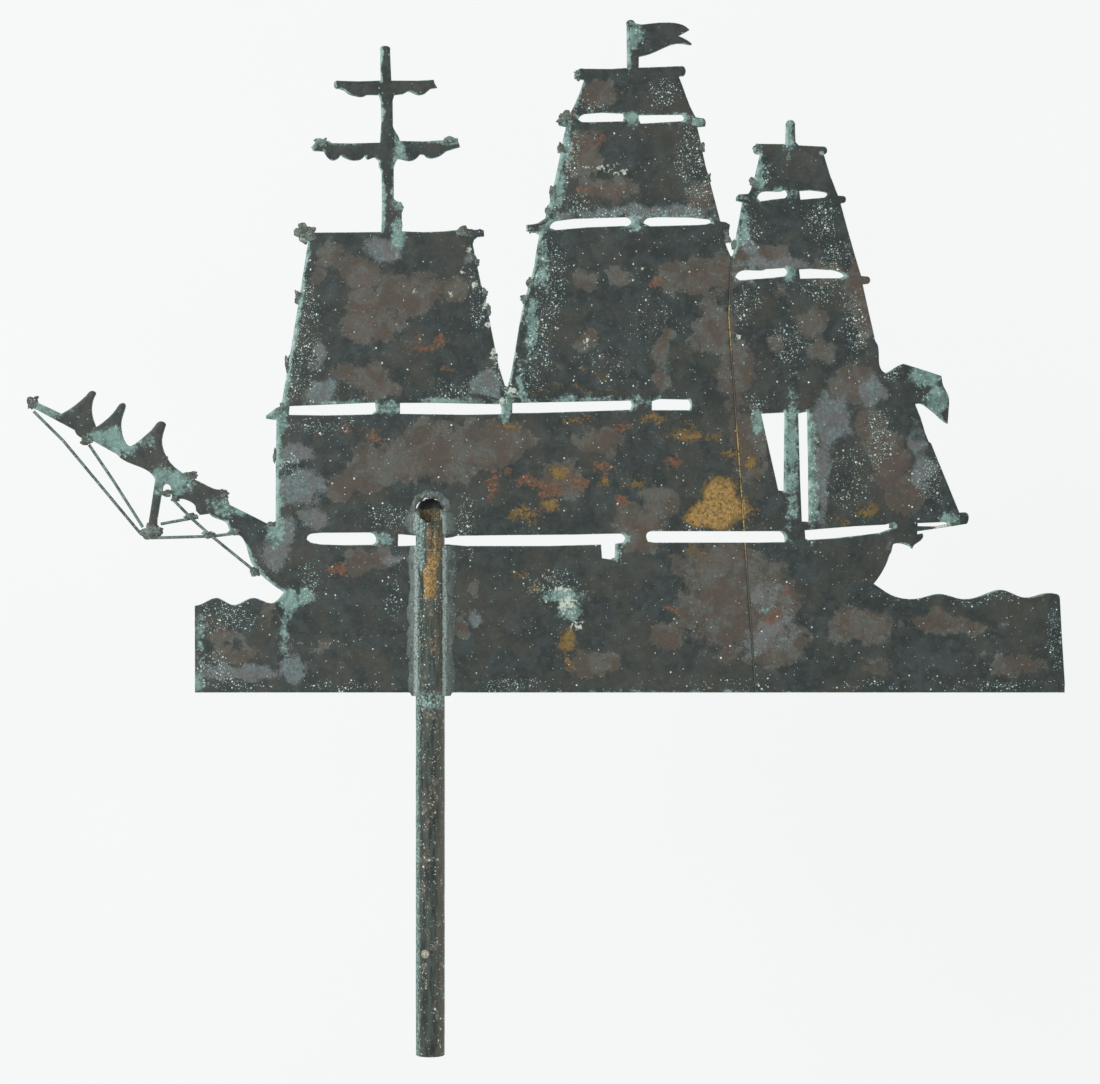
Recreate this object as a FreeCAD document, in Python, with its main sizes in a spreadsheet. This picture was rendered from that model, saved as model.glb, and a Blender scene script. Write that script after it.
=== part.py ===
import FreeCAD, Part
import math
import os
import Sketcher

# Weather vane: a three-masted ship under full sail on a strip of sea, pierced from sheet copper and
# soldered into a slotted copper tube that turns on a fixed steel spindle.
#
# Frame, in millimetres: +Z up along the tube, +X from the bow towards the stern, the sheet stands in
# the XZ plane. The origin is on the turning axis, at the foot of the spindle and mouth of the tube.

DIMENSIONS = [
    ("tube_od", 22.2, "outside diameter of the copper tube, a 7/8 inch water tube"),
    ("tube_wall", 1.6, "wall of the copper tube"),
    ("mouth_height", 417.0, "height of the middle of the tube's slanted upper end"),
    ("mouth_rise", 19.2, "climb of the slanted end from the front wall to the back wall"),
    ("sheet_gauge", 2.0, "thickness of the copper sheets"),
    ("sheet_foot", 277.7, "height of the ship's straight lower edge"),
    ("slot_play", 0.1, "gap between the tube and the slot in the sheet, each side"),
    ("seam_width", 1.0, "gap between the two sheets, filled with braze"),
    ("seam_crown", 0.3, "how far the braze stands proud of each face"),
    ("wire_od", 2.3, "diameter of the stay wires"),
    ("wire_play", 0.05, "gap between two wires that cross"),
    ("left_band", 6.7, "width on the sheet of the solder left of the tube"),
    ("right_band", 8.6, "width on the sheet of the solder right of the tube"),
    ("band_top", 416.0, "upper end of the solder beside the tube"),
    ("band_gap_foot", 389.6, "where the waist slot breaks the solder, lower edge"),
    ("band_gap_head", 399.4, "where the waist slot breaks the solder, upper edge"),
    ("arch_width", 5.6, "width of the solder round the arched head of the slot"),
    ("arch_depth", 1.6, "how far that solder stands proud of the sheet"),
    ("rod_od", 12.7, "diameter of the spindle rod, half an inch"),
    ("rod_top", 374.5, "upper end of the spindle rod"),
    ("rod_chamfer", 0.8, "chamfer at both ends of the rod"),
    ("screw_bore", 6.8, "tapping diameter of the thread in the rod's foot"),
    ("screw_depth", 25.0, "full depth of that thread"),
    ("drill_cone", 2.0, "height of the drill's cone beyond the thread"),
    ("ball_od", 9.525, "diameter of the thrust ball, three eighths of an inch"),
    ("ball_height", 377.0, "height of the ball's centre"),
    ("cup_play", 0.1, "gap round the ball in each of its cups"),
    ("plug_foot", 379.5, "lower face of the pivot plug"),
    ("plug_top", 402.0, "upper face of the pivot plug"),
    ("bush_foot", 64.0, "lower face of the bush at the foot of the tube"),
    ("bush_length", 30.0, "length of that bush"),
    ("bush_play", 0.08, "running clearance between rod and bush"),
    ("bush_chamfer", 1.0, "lead-in chamfers of bush and plug"),
    ("pin_height", 78.8, "height of the pin that holds the bush"),
    ("pin_od", 3.2, "diameter of the pin's shank"),
    ("pin_turn", 17.3, "angle of the pin round the tube from its front, in degrees"),
    ("pin_tip", 7.6, "distance of the pin's inner end from the turning axis"),
    ("pin_head_od", 6.6, "diameter of the pin's domed head"),
    ("pin_head_rim", 0.5, "thickness of the head at its rim"),
    ("pin_head_crown", 1.5, "thickness of the head at its middle"),
]

# ------------------------------------------------------------------------------------------------
# The ship's outline, as (x, z) corners joined by straight cuts. An inner list is a flowing cut that
# passes through its points, from the corner before it to the corner after it.

SEA_AT_BOW = [
    (-180.2, 277.7),
    (-180.4, 344.2),
    [(-175.0, 345.6), (-163.4, 350.2), (-151.1, 344.8), (-135.4, 350.2), (-120.5, 346.4),
     (-116.2, 349.4)],
    (-112.2, 354.6),
]

STEM = [
    [(-120.0, 359.8), (-129.2, 367.4), (-137.8, 379.0), (-141.6, 392.0), (-146.0, 398.0)],
    (-151.0, 399.4),
    [(-153.9, 402.4), (-155.6, 407.0), (-161.0, 410.0)],
    (-169.2, 414.5),
]

BOWSPRIT_HEEL = [
    (-176.5, 413.6),
    (-179.6, 417.2),
    [(-180.6, 421.4), (-185.0, 424.4), (-190.5, 426.0)],
    (-194.0, 425.4),
    (-197.4, 428.0),
    [(-198.6, 431.6), (-198.9, 435.4), (-201.4, 437.3)],
    (-204.2, 436.0),
]

MARTINGALE = [
    (-205.8, 428.8),
    (-209.0, 409.2),
    (-209.0, 397.9),
    (-215.6, 398.4),
    (-215.6, 408.6),
    (-210.6, 441.0),
]

BOWSPRIT_UNDERSIDE = [
    [(-214.0, 445.6), (-221.0, 449.8)],
    (-240.0, 460.2),
    (-258.0, 470.2),
    (-262.6, 470.0),
    (-266.5, 472.6),
    [(-270.3, 474.8)],
    (-272.4, 478.6),
    (-285.0, 485.4),
    (-301.2, 494.2),
]

BOWSPRIT_TIP = [
    (-304.8, 495.2),
    [(-308.0, 497.8), (-309.1, 500.9), (-308.2, 503.8), (-305.9, 504.4)],
    (-303.9, 503.2),
    [(-302.6, 504.6), (-300.2, 504.8)],
    (-300.9, 502.2),
    (-299.8, 499.3),
]

FOREMOST_JIB = [
    (-290.0, 494.8),
    (-282.4, 491.2),
    [(-275.0, 495.6), (-268.5, 500.6), (-263.0, 505.9), (-259.6, 508.7), (-256.6, 508.0)],
    (-256.0, 506.2),
    [(-258.6, 499.6), (-259.0, 492.0), (-257.6, 486.0)],
    (-255.8, 481.1),
]

MIDDLE_JIB = [
    [(-251.0, 484.4), (-245.0, 489.6), (-240.4, 495.2), (-237.6, 498.8), (-235.0, 499.6)],
    (-233.1, 497.2),
    [(-234.4, 492.4), (-236.4, 486.0), (-236.3, 478.0), (-234.4, 471.2), (-231.6, 467.2)],
    (-229.6, 466.3),
]

INNER_JIB = [
    [(-226.0, 468.2), (-217.6, 475.2), (-211.6, 481.2), (-207.8, 485.2), (-204.6, 485.2)],
    (-202.4, 482.8),
    [(-204.4, 476.4), (-205.4, 469.6), (-203.6, 461.8), (-199.6, 454.6), (-193.6, 448.6)],
    (-189.6, 445.8),
    (-186.2, 445.4),
    [(-184.4, 446.6), (-181.4, 446.4)],
    (-180.2, 444.4),
    (-180.2, 440.8),
]

BOWSPRIT_TOP = [
    [(-170.0, 435.8), (-163.0, 433.3), (-158.4, 433.0)],
    (-155.4, 432.0),
    (-155.4, 427.0),
    (-153.6, 421.4),
    (-140.0, 414.8),
    (-126.6, 408.0),
    (-120.6, 405.4),
    (-118.4, 406.4),
]

FORE_COURSE_BAND = [
    (-118.3, 455.0),
    (-117.8, 486.6),
    (-121.4, 486.8),
    (-125.8, 487.5),
    (-126.1, 489.6),
    (-122.0, 492.6),
    (-118.0, 495.6),
    (-114.6, 497.0),
]

FORE_COURSE_LUFF = [
    (-113.7, 500.0),
    [(-110.2, 520.0), (-106.1, 545.0), (-102.2, 568.0), (-98.4, 592.0)],
    (-93.6, 622.3),
]

FORE_YARD_LEFT = [
    (-100.2, 623.8),
    (-99.2, 629.2),
    (-88.0, 630.0),
    (-60.0, 630.2),
    (-37.4, 630.5),
]

FORE_LOWER_MAST_LEFT = [
    (-37.0, 652.0),
    (-37.3, 676.0),
    (-39.6, 680.6),
    (-39.6, 684.8),
    (-41.6, 686.2),
]

FORE_TOPSAIL_YARD_LEFT = [
    [(-44.0, 687.2), (-47.0, 686.0)],
    (-50.2, 689.0),
    [(-53.4, 685.9), (-60.0, 685.2), (-65.6, 687.0)],
    (-69.0, 689.2),
    [(-71.4, 686.2), (-75.2, 685.2), (-78.6, 687.2)],
    (-81.4, 692.0),
    (-89.6, 692.5),
    (-91.3, 695.2),
    (-88.6, 698.2),
    [(-86.0, 701.2), (-83.6, 701.8)],
    (-81.0, 700.4),
    (-77.6, 700.2),
    (-75.4, 698.5),
    (-60.0, 698.3),
    (-38.6, 698.9),
]

FORE_UPPER_MAST_LEFT = [
    (-37.5, 715.0),
    (-38.0, 730.0),
    (-39.4, 735.2),
]

FORE_ROYAL_YARD_LEFT = [
    (-49.0, 735.3),
    [(-52.4, 733.8), (-58.0, 734.4), (-62.0, 735.6)],
    (-66.0, 738.6),
    (-70.6, 740.2),
    [(-73.4, 741.2), (-73.9, 743.8), (-72.8, 745.9)],
    (-70.6, 746.3),
    (-55.0, 745.8),
    (-38.0, 746.4),
]

FORE_POLE = [
    (-38.4, 769.4),
    [(-37.6, 772.3), (-34.5, 773.0), (-31.5, 772.3)],
    (-30.8, 769.4),
    (-29.8, 746.4),
]

FORE_ROYAL_YARD_RIGHT = [
    (-10.0, 746.3),
    (2.6, 747.0),
    (3.4, 744.4),
    (5.4, 740.7),
    (0.0, 740.0),
    (-2.8, 737.6),
    [(-6.6, 735.4), (-11.0, 735.5), (-14.4, 737.2)],
    (-17.4, 738.0),
    (-21.0, 736.0),
    (-27.6, 735.2),
    (-28.8, 731.0),
]

FORE_UPPER_MAST_RIGHT = [
    (-28.6, 712.0),
    [(-27.4, 708.6), (-25.8, 706.0)],
    (-23.4, 700.2),
]

FORE_TOPSAIL_YARD_RIGHT = [
    (-5.0, 699.8),
    (10.4, 700.8),
    [(12.2, 703.2), (14.6, 703.8), (18.6, 702.6)],
    (21.6, 699.4),
    (23.0, 695.4),
    (17.8, 693.9),
    (12.2, 692.2),
    [(8.0, 689.0), (2.0, 686.8), (-2.2, 687.1)],
    (-4.8, 689.4),
    (-7.8, 689.8),
    [(-10.2, 687.2), (-13.0, 685.3), (-18.0, 684.8), (-21.8, 685.8)],
    (-25.2, 686.2),
    (-26.8, 683.4),
]

FORE_LOWER_MAST_RIGHT = [
    (-28.0, 680.0),
    (-27.9, 656.2),
    [(-25.6, 654.2), (-22.3, 652.6), (-20.8, 649.6)],
    (-21.8, 645.4),
    (-21.8, 631.0),
]

FORE_YARD_RIGHT = [
    (-5.0, 630.3),
    (10.0, 630.9),
    (20.0, 631.9),
    [(25.6, 633.5), (30.6, 632.6)],
    (38.0, 632.9),
    (41.1, 631.6),
    (41.3, 627.0),
    (36.2, 626.5),
    (33.6, 624.4),
]

FORE_COURSE_LEECH = [
    (32.6, 621.0),
    (34.6, 611.0),
    (38.8, 591.0),
    [(43.2, 575.0), (46.0, 560.0), (49.8, 541.0)],
    (52.4, 528.0),
    (57.2, 512.8),
    (58.8, 511.0),
]

MAIN_COURSE_LUFF = [
    [(61.6, 521.0), (64.7, 538.0), (67.6, 556.0), (70.4, 571.0), (74.2, 585.4), (78.4, 599.6)],
    (80.6, 612.0),
    (83.4, 628.0),
]

MAIN_YARD_LEFT = [
    (79.6, 630.4),
    (73.6, 630.9),
    (73.3, 635.9),
    (78.4, 636.3),
    (82.4, 637.2),
    (88.0, 640.8),
]

MAIN_TOPSAIL_LUFF = [
    [(90.6, 650.0), (93.6, 662.0), (97.0, 677.0), (100.6, 696.0)],
    (103.9, 710.7),
]

MAIN_TOPSAIL_YARD_LEFT = [
    (99.0, 711.8),
    [(97.6, 714.2), (98.8, 717.0)],
    (102.2, 717.9),
    (106.4, 720.6),
]

MAIN_TOPGALLANT_LUFF = [
    [(109.6, 726.0), (112.6, 732.6), (115.6, 740.4)],
    (117.6, 746.6),
]

MAIN_ROYAL_YARD_LEFT = [
    (111.2, 748.0),
    [(111.3, 751.6), (113.3, 754.8)],
    (117.6, 755.5),
    (138.0, 755.3),
    (150.6, 756.1),
]

MAIN_POLE = [
    (150.3, 789.0),
    [(150.6, 791.8), (152.4, 792.8), (155.0, 792.6)],
    (156.9, 790.4),
]

MAIN_PENNANT = [
    [(160.4, 789.5), (168.0, 790.0), (179.0, 790.9), (188.0, 790.4), (194.4, 788.5)],
    (198.5, 785.2),
    (195.8, 783.5),
    (190.2, 780.5),
    [(194.0, 778.9), (197.6, 776.8)],
    (200.4, 774.6),
    (199.6, 773.4),
    [(195.0, 774.2), (189.4, 774.6), (183.4, 773.3), (176.4, 770.2), (168.0, 766.6)],
    (159.8, 764.6),
    (159.7, 756.3),
]

MAIN_ROYAL_YARD_RIGHT = [
    (175.0, 756.8),
    (192.0, 757.5),
    [(194.6, 756.6), (195.6, 754.4), (195.2, 751.4)],
    (193.6, 749.7),
    (190.4, 749.4),
]

MAIN_TOPGALLANT_LEECH = [
    [(195.0, 737.2), (199.4, 725.8)],
    (203.4, 718.3),
]

MAIN_TOPSAIL_YARD_RIGHT = [
    (207.6, 717.6),
    [(210.4, 716.4), (211.0, 713.8)],
    (210.4, 711.2),
    (204.5, 710.7),
]

MAIN_TOPSAIL_LEECH = [
    [(207.0, 700.0), (210.2, 684.0), (214.2, 669.0), (218.2, 654.0)],
    (222.2, 638.6),
]

MAIN_YARD_RIGHT = [
    (226.4, 638.0),
    (229.6, 636.0),
    (229.0, 632.2),
    (224.6, 630.8),
]

MAIN_COURSE_LEECH = [
    (226.6, 620.0),
    (229.8, 612.4),
]

SEAM = [
    (230.6, 611.8),
    (228.6, 566.0),
    (249.2, 277.7),
]

MIZZEN_COURSE_LUFF = [
    (233.2, 616.6),
    [(233.8, 625.0), (235.8, 636.0), (237.6, 646.0)],
    (238.8, 653.2),
]

MIZZEN_TOPSAIL_YARD_LEFT = [
    (234.0, 654.4),
    (234.2, 657.2),
    (236.2, 659.2),
    (243.4, 659.6),
    (245.3, 662.4),
]

MIZZEN_TOPSAIL_LUFF = [
    [(248.2, 672.0), (250.6, 682.0)],
    (252.3, 689.6),
]

MIZZEN_TOP_YARD_LEFT = [
    (249.4, 690.0),
    [(247.2, 692.6), (248.0, 695.8)],
    (251.6, 698.0),
    (260.0, 697.9),
    (271.8, 697.8),
]

MIZZEN_POLE = [
    (272.3, 711.6),
    [(273.0, 714.8), (275.8, 716.3), (278.6, 714.9)],
    (279.3, 711.6),
    (279.8, 699.4),
    (282.2, 696.8),
]

MIZZEN_TOP_YARD_RIGHT = [
    (292.0, 696.3),
    (301.0, 695.9),
    [(303.6, 694.4), (303.9, 691.8)],
    (301.4, 689.8),
]

MIZZEN_TOPSAIL_LEECH = [
    (306.2, 674.0),
    (312.3, 658.3),
]

MIZZEN_TOPSAIL_YARD_RIGHT = [
    (316.6, 658.0),
    [(318.2, 656.4), (318.0, 653.8)],
    (316.0, 652.6),
    (314.3, 652.2),
]

MIZZEN_COURSE_LEECH = [
    (319.2, 634.0),
    (324.8, 614.0),
    (330.0, 596.8),
]

CROSSJACK_YARD_RIGHT = [
    (334.2, 596.4),
    [(336.7, 594.9), (336.6, 592.0)],
    (334.4, 590.6),
    (331.2, 590.2),
]

SPANKER_LEECH_UPPER = [
    (336.0, 568.6),
    (341.0, 546.6),
    [(343.6, 534.0), (345.8, 524.6)],
    (348.8, 522.4),
]

ENSIGN = [
    [(353.0, 524.8), (358.0, 527.9)],
    (362.6, 529.5),
    (375.0, 525.6),
    (391.5, 520.2),
    (392.3, 515.0),
    [(394.6, 509.6), (397.4, 504.6), (398.4, 497.6), (398.0, 490.0)],
    (397.6, 483.8),
    (395.4, 484.6),
    [(388.4, 490.2), (381.0, 495.4), (374.6, 498.9)],
    (371.4, 498.4),
]

SPANKER_LEECH_LOWER = [
    (405.2, 415.6),
]

BOOM = [
    (409.4, 415.8),
    [(411.6, 414.6), (412.4, 411.6)],
    (411.0, 406.9),
    (400.0, 405.1),
    (385.0, 402.9),
    (373.0, 401.1),
]

BENT_TAB = [
    (373.0, 399.0),
    (377.0, 399.7),
    [(377.4, 396.8), (375.0, 393.8), (371.6, 391.6)],
    (368.6, 387.6),
    (366.2, 389.8),
    [(361.8, 391.4), (357.4, 392.0)],
    (354.2, 391.2),
]

STERN = [
    [(352.3, 385.0), (350.0, 378.0), (346.6, 371.0), (343.2, 365.6)],
    (339.6, 361.0),
]

SEA_AT_STERN = [
    [(345.0, 357.4), (352.0, 353.0), (360.0, 350.2), (367.0, 349.3), (375.0, 350.0), (390.0, 353.3),
     (406.0, 349.5), (422.0, 352.0), (437.4, 356.4), (455.0, 350.5), (470.0, 353.6)],
    (478.6, 353.4),
    [(481.2, 352.4)],
    (482.2, 350.0),
    (483.8, 320.0),
    (486.0, 285.0),
    (485.8, 277.7),
]

FORE_OUTLINE = (
    SEA_AT_BOW + STEM + BOWSPRIT_HEEL + MARTINGALE + BOWSPRIT_UNDERSIDE + BOWSPRIT_TIP
    + FOREMOST_JIB + MIDDLE_JIB + INNER_JIB + BOWSPRIT_TOP + FORE_COURSE_BAND + FORE_COURSE_LUFF
    + FORE_YARD_LEFT + FORE_LOWER_MAST_LEFT + FORE_TOPSAIL_YARD_LEFT + FORE_UPPER_MAST_LEFT
    + FORE_ROYAL_YARD_LEFT + FORE_POLE + FORE_ROYAL_YARD_RIGHT + FORE_UPPER_MAST_RIGHT
    + FORE_TOPSAIL_YARD_RIGHT + FORE_LOWER_MAST_RIGHT + FORE_YARD_RIGHT + FORE_COURSE_LEECH
    + MAIN_COURSE_LUFF + MAIN_YARD_LEFT + MAIN_TOPSAIL_LUFF + MAIN_TOPSAIL_YARD_LEFT
    + MAIN_TOPGALLANT_LUFF + MAIN_ROYAL_YARD_LEFT + MAIN_POLE + MAIN_PENNANT
    + MAIN_ROYAL_YARD_RIGHT + MAIN_TOPGALLANT_LEECH + MAIN_TOPSAIL_YARD_RIGHT
    + MAIN_TOPSAIL_LEECH + MAIN_YARD_RIGHT + MAIN_COURSE_LEECH
)

AFTER_OUTLINE = (
    MIZZEN_COURSE_LUFF + MIZZEN_TOPSAIL_YARD_LEFT + MIZZEN_TOPSAIL_LUFF + MIZZEN_TOP_YARD_LEFT
    + MIZZEN_POLE + MIZZEN_TOP_YARD_RIGHT + MIZZEN_TOPSAIL_LEECH + MIZZEN_TOPSAIL_YARD_RIGHT
    + MIZZEN_COURSE_LEECH + CROSSJACK_YARD_RIGHT + SPANKER_LEECH_UPPER + ENSIGN
    + SPANKER_LEECH_LOWER + BOOM + BENT_TAB + STERN + SEA_AT_STERN
)

# The slots that part each sail from the next, named for what they part.

WAIST_SLOT_AFTER = [
    (165.4, 397.0),
    [(166.3, 399.9)],
    (169.4, 401.2),
    (266.0, 401.2),
    [(269.6, 399.8), (271.2, 396.4)],
    (271.2, 393.0),
    (250.0, 392.6),
    (171.0, 392.6),
    (166.6, 393.4),
]

FORE_SLOTS = {
    "main_topgallant_foot_left": [
        (113.2, 716.6), [(115.6, 719.6)], (120.0, 720.9), (131.0, 721.8), (147.4, 721.1),
        (148.2, 718.0), (147.4, 715.2), (121.0, 714.5), (116.0, 714.7),
    ],
    "main_topgallant_foot_right": [
        (159.6, 719.9), (189.6, 720.2), [(193.2, 719.6)], (194.4, 717.6), [(193.4, 715.9)],
        (191.0, 715.2), (161.2, 713.4), (159.7, 716.6),
    ],
    "main_topsail_foot_left": [
        (91.4, 633.6), [(93.2, 636.9)], (97.4, 638.9), (110.0, 640.5), (148.6, 641.7),
        [(152.4, 640.6)], (154.0, 638.2), [(152.6, 635.9)], (148.0, 635.1), (120.0, 634.0),
        (96.0, 631.9),
    ],
    "main_topsail_foot_right": [
        (163.2, 637.2), [(165.0, 640.0)], (169.0, 641.4), (175.0, 641.8), (200.0, 641.5),
        (213.6, 640.0), (215.3, 637.8), (211.6, 636.3), (205.0, 635.8), (168.4, 634.8),
    ],
    "main_course_foot_left": [
        (62.8, 491.7), (62.9, 499.4), (100.0, 500.2), (153.6, 501.3), (154.4, 497.8),
        (153.2, 494.3), (120.0, 493.1), (82.0, 491.9),
    ],
    "main_course_foot_right": [
        (169.8, 494.0), (169.8, 500.9), (175.6, 502.5), (197.4, 502.0), [(199.2, 499.0)],
        (198.4, 494.0),
    ],
    "fore_course_foot_left": [
        (-108.3, 490.4), (-107.8, 497.0), (-88.0, 497.8), (-42.4, 499.8), (-41.6, 494.0),
        (-44.6, 490.8), (-80.0, 490.0),
    ],
    "fore_course_foot_right": [
        (-23.2, 491.2), (-23.2, 499.4), (0.0, 499.6), (53.4, 498.5), (54.6, 495.4), (54.2, 491.0),
        (28.0, 490.5),
    ],
    "waist_slot_bow": [
        (-94.6, 395.0), [(-93.6, 397.8)], (-90.4, 399.4), (-84.0, 400.0), (-47.0, 400.2),
        [(-43.4, 399.0)], (-41.6, 396.2), [(-41.9, 393.0)], (-44.6, 390.9), (-66.0, 390.6),
        (-84.0, 391.2), (-91.6, 392.6),
    ],
    "waist_slot_middle": [
        (-24.8, 389.9), (-24.5, 398.9), (12.6, 396.1), (16.0, 396.4), (20.6, 397.7), (60.0, 398.2),
        (110.0, 398.6), (144.6, 399.4), [(148.0, 398.2)], (149.2, 395.4), (147.6, 392.6),
        (141.6, 391.6), (141.4, 381.4), (138.0, 379.8), (131.6, 380.6), (130.8, 391.1),
        (90.0, 390.0), (27.0, 390.0), (13.8, 391.2),
    ],
    "waist_slot_after": WAIST_SLOT_AFTER,
}

AFTER_SLOTS = {
    "waist_slot_after": WAIST_SLOT_AFTER,
    "waist_slot_stern": [
        (286.8, 401.9), (300.0, 403.0), (325.0, 405.0), (348.0, 406.2), (352.2, 407.3),
        [(354.8, 405.9)], (353.6, 403.4), (344.0, 400.0), (328.0, 398.0), (308.0, 395.8),
        (289.6, 394.6), (287.4, 395.4),
    ],
    "spanker_luff": [
        (253.4, 491.2), (271.3, 492.1), (270.9, 460.0), (270.6, 432.0), (266.6, 432.6),
        (258.6, 468.0),
    ],
    "mizzen_mast_after": [
        (281.8, 491.4), (288.6, 492.8), (289.4, 450.0), (289.7, 408.5), (284.6, 408.8),
        (283.3, 440.0),
    ],
    "mizzen_topsail_foot_left": [
        (250.4, 656.4), [(252.6, 660.2), (257.0, 661.5)], (271.0, 662.7), [(273.3, 659.6)],
        (271.6, 656.4), (261.0, 655.2), (252.6, 653.9),
    ],
    "mizzen_topsail_foot_right": [
        (282.6, 661.8), (291.0, 662.3), (300.0, 661.2), [(303.8, 659.4)], (301.6, 656.8),
        (291.0, 655.8), (283.6, 655.2),
    ],
    "mizzen_course_foot_left": [
        (233.6, 595.6), [(236.6, 599.8), (243.0, 601.2)], (257.0, 602.0), (271.0, 602.8),
        [(273.2, 600.0)], (271.2, 596.5), (260.0, 595.2), (247.0, 594.2), (237.0, 593.4),
    ],
    "mizzen_course_foot_right": [
        (282.4, 601.8), (291.0, 602.3), (305.0, 601.3), [(312.6, 599.9), (316.5, 597.3)],
        (313.4, 595.0), (296.0, 595.0), (283.4, 594.7),
    ],
    "spanker_foot": [
        (373.4, 405.2), (373.2, 407.4), (384.0, 407.8), (394.2, 408.3), (396.6, 406.9),
        (386.0, 405.0),
    ],
}

# ------------------------------------------------------------------------------------------------
# Stay wires under the bowsprit, as the corners of their bent centre lines, and their bend radius.

OUTER_STAY = [
    (-303.8, 493.0), (-281.2, 470.6), (-255.4, 439.6), (-221.6, 399.0), (-213.6, 396.1),
    (-166.9, 397.4), (-152.4, 399.2),
]
INNER_STAY = [(-261.4, 467.4), (-242.8, 440.0), (-220.2, 404.4)]
BACKROPE = [(-206.4, 406.8), (-184.0, 410.9), (-177.8, 411.8)]
CROSS_STAY = [(-197.4, 426.2), (-183.2, 411.6), (-168.4, 398.4), (-131.6, 368.6)]
STAY_BEND = 5.0
STAY_BEND_SHARE = 0.45  # the most of a short run that one bend may take up
BOW_REGION = {"left": -330.0, "right": -124.0, "foot": 355.0, "head": 515.0, "depth": 10.0}

# Solder along the tube climbs this far round it, in degrees, and its face is hollow by this much.
SOLDER_CLIMB = 24.0
SOLDER_HOLLOW = 0.3

# Solder, as (x, z, half length, half height, half depth) of each oval drop.

STAY_SOLDER = {
    "stay_tip_solder": [(-305.2, 498.8, 3.9, 4.8, 2.4)],
    "inner_stay_solder": [(-262.6, 470.6, 5.0, 3.6, 2.5)],
    "martingale_solder": [(-212.8, 401.9, 8.2, 6.2, 3.4)],
    "bowsprit_eye_solder": [(-201.4, 430.4, 4.4, 3.4, 2.8)],
    "cross_stay_head_solder": [(-195.2, 426.0, 3.0, 2.4, 3.6)],
    "upper_crossing_solder": [(-184.2, 412.6, 5.6, 2.9, 3.6)],
    "lower_crossing_solder": [(-169.6, 398.4, 5.2, 2.7, 3.6)],
    "hull_stay_solder": [(-149.8, 401.0, 4.6, 3.0, 2.5)],
    "cross_stay_foot_solder": [(-133.8, 370.6, 4.6, 3.6, 3.8)],
}

FORE_RIGGING = {
    "bowsprit_rigging_solder": [
        (-183.4, 444.0, 5.0, 3.6, 2.2), (-157.6, 429.8, 3.6, 4.2, 2.2), (-121.4, 406.4, 5.2, 2.6, 2.2),
        (-203.4, 457.6, 2.2, 2.6, 2.0),
    ],
    "fore_rigging_solder": [
        (-95.4, 628.0, 7.4, 6.0, 2.4), (-92.4, 634.4, 2.6, 2.4, 1.8), (-101.0, 581.0, 3.0, 5.6, 2.1),
        (-109.2, 528.6, 2.2, 8.6, 2.0), (-118.8, 458.6, 1.9, 5.4, 2.0), (-24.6, 650.2, 4.4, 3.8, 2.2),
        (-24.4, 634.6, 2.8, 4.6, 2.1), (27.2, 628.6, 6.4, 5.4, 2.1), (35.4, 607.0, 2.4, 4.6, 2.0),
        (41.6, 583.0, 2.4, 4.8, 2.1), (44.2, 569.6, 2.2, 5.4, 2.1), (49.0, 535.8, 2.6, 4.0, 2.2),
        (57.8, 510.2, 3.4, 2.6, 2.0), (-82.6, 698.4, 6.0, 3.8, 2.1), (15.0, 699.8, 6.2, 4.2, 2.1),
        (-112.2, 496.8, 3.6, 2.6, 2.2),
    ],
    "main_rigging_solder": [
        (113.8, 751.0, 4.0, 4.2, 2.2), (107.6, 718.0, 3.8, 4.4, 2.4), (101.4, 714.4, 3.6, 2.8, 2.1),
        (101.8, 694.2, 3.8, 5.2, 2.2), (94.6, 660.6, 3.0, 6.4, 2.1), (90.6, 646.8, 2.4, 4.4, 2.0),
        (77.0, 592.2, 3.6, 4.0, 2.1), (72.6, 578.8, 3.8, 3.8, 2.1), (207.6, 694.8, 2.6, 4.2, 2.1),
        (213.0, 670.4, 2.2, 5.0, 2.0), (226.6, 627.0, 3.2, 7.2, 2.2), (78.2, 632.6, 4.2, 3.0, 2.1),
    ],
}

AFTER_RIGGING = {
    "mizzen_rigging_solder": [
        (251.2, 694.0, 4.2, 4.4, 2.2), (248.6, 667.0, 4.2, 5.4, 2.2), (239.4, 656.8, 4.8, 3.2, 2.1),
        (232.8, 620.4, 1.9, 6.6, 2.1), (274.6, 687.6, 2.6, 2.8, 1.6), (353.6, 405.6, 3.2, 2.8, 2.0),
    ],
}


# ------------------------------------------------------------------------------------------------
# The document, its table of dimensions, and lengths that stay bound to that table.

doc = FreeCAD.newDocument("weather_vane")
table = doc.addObject("Spreadsheet::Sheet", "Dimensions")


class Size:
    """A length in millimetres together with the formula on the table's cells that gives it."""

    def __init__(self, value, formula):
        self.value = value
        self.formula = formula

    def joined(self, other, sign, value):
        formula = other.formula if isinstance(other, Size) else repr(float(other))
        return Size(value, f"({self.formula} {sign} {formula})")

    def __add__(self, other):
        return self.joined(other, "+", self.value + number(other))

    def __sub__(self, other):
        return self.joined(other, "-", self.value - number(other))

    def __mul__(self, other):
        return self.joined(other, "*", self.value * number(other))

    def __truediv__(self, other):
        return self.joined(other, "/", self.value / number(other))

    def __neg__(self):
        return Size(-self.value, f"(0 - {self.formula})")


def number(length):
    return length.value if isinstance(length, Size) else length


def fill_table():
    sizes = {}
    for row, (alias, value, meaning) in enumerate(DIMENSIONS, start=1):
        table.set(f"A{row}", alias.replace("_", " "))
        table.set(f"B{row}", str(value))
        table.setAlias(f"B{row}", alias)
        table.set(f"C{row}", meaning)
        sizes[alias] = Size(value, f"Dimensions.{alias}")
    doc.recompute()
    return sizes


def bind(thing, path, length):
    """Tie one property of an object to the table, when its size comes from there."""
    if isinstance(length, Size):
        thing.setExpression(path, length.formula)
    else:
        thing.setExpression(path, repr(float(length)))


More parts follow.
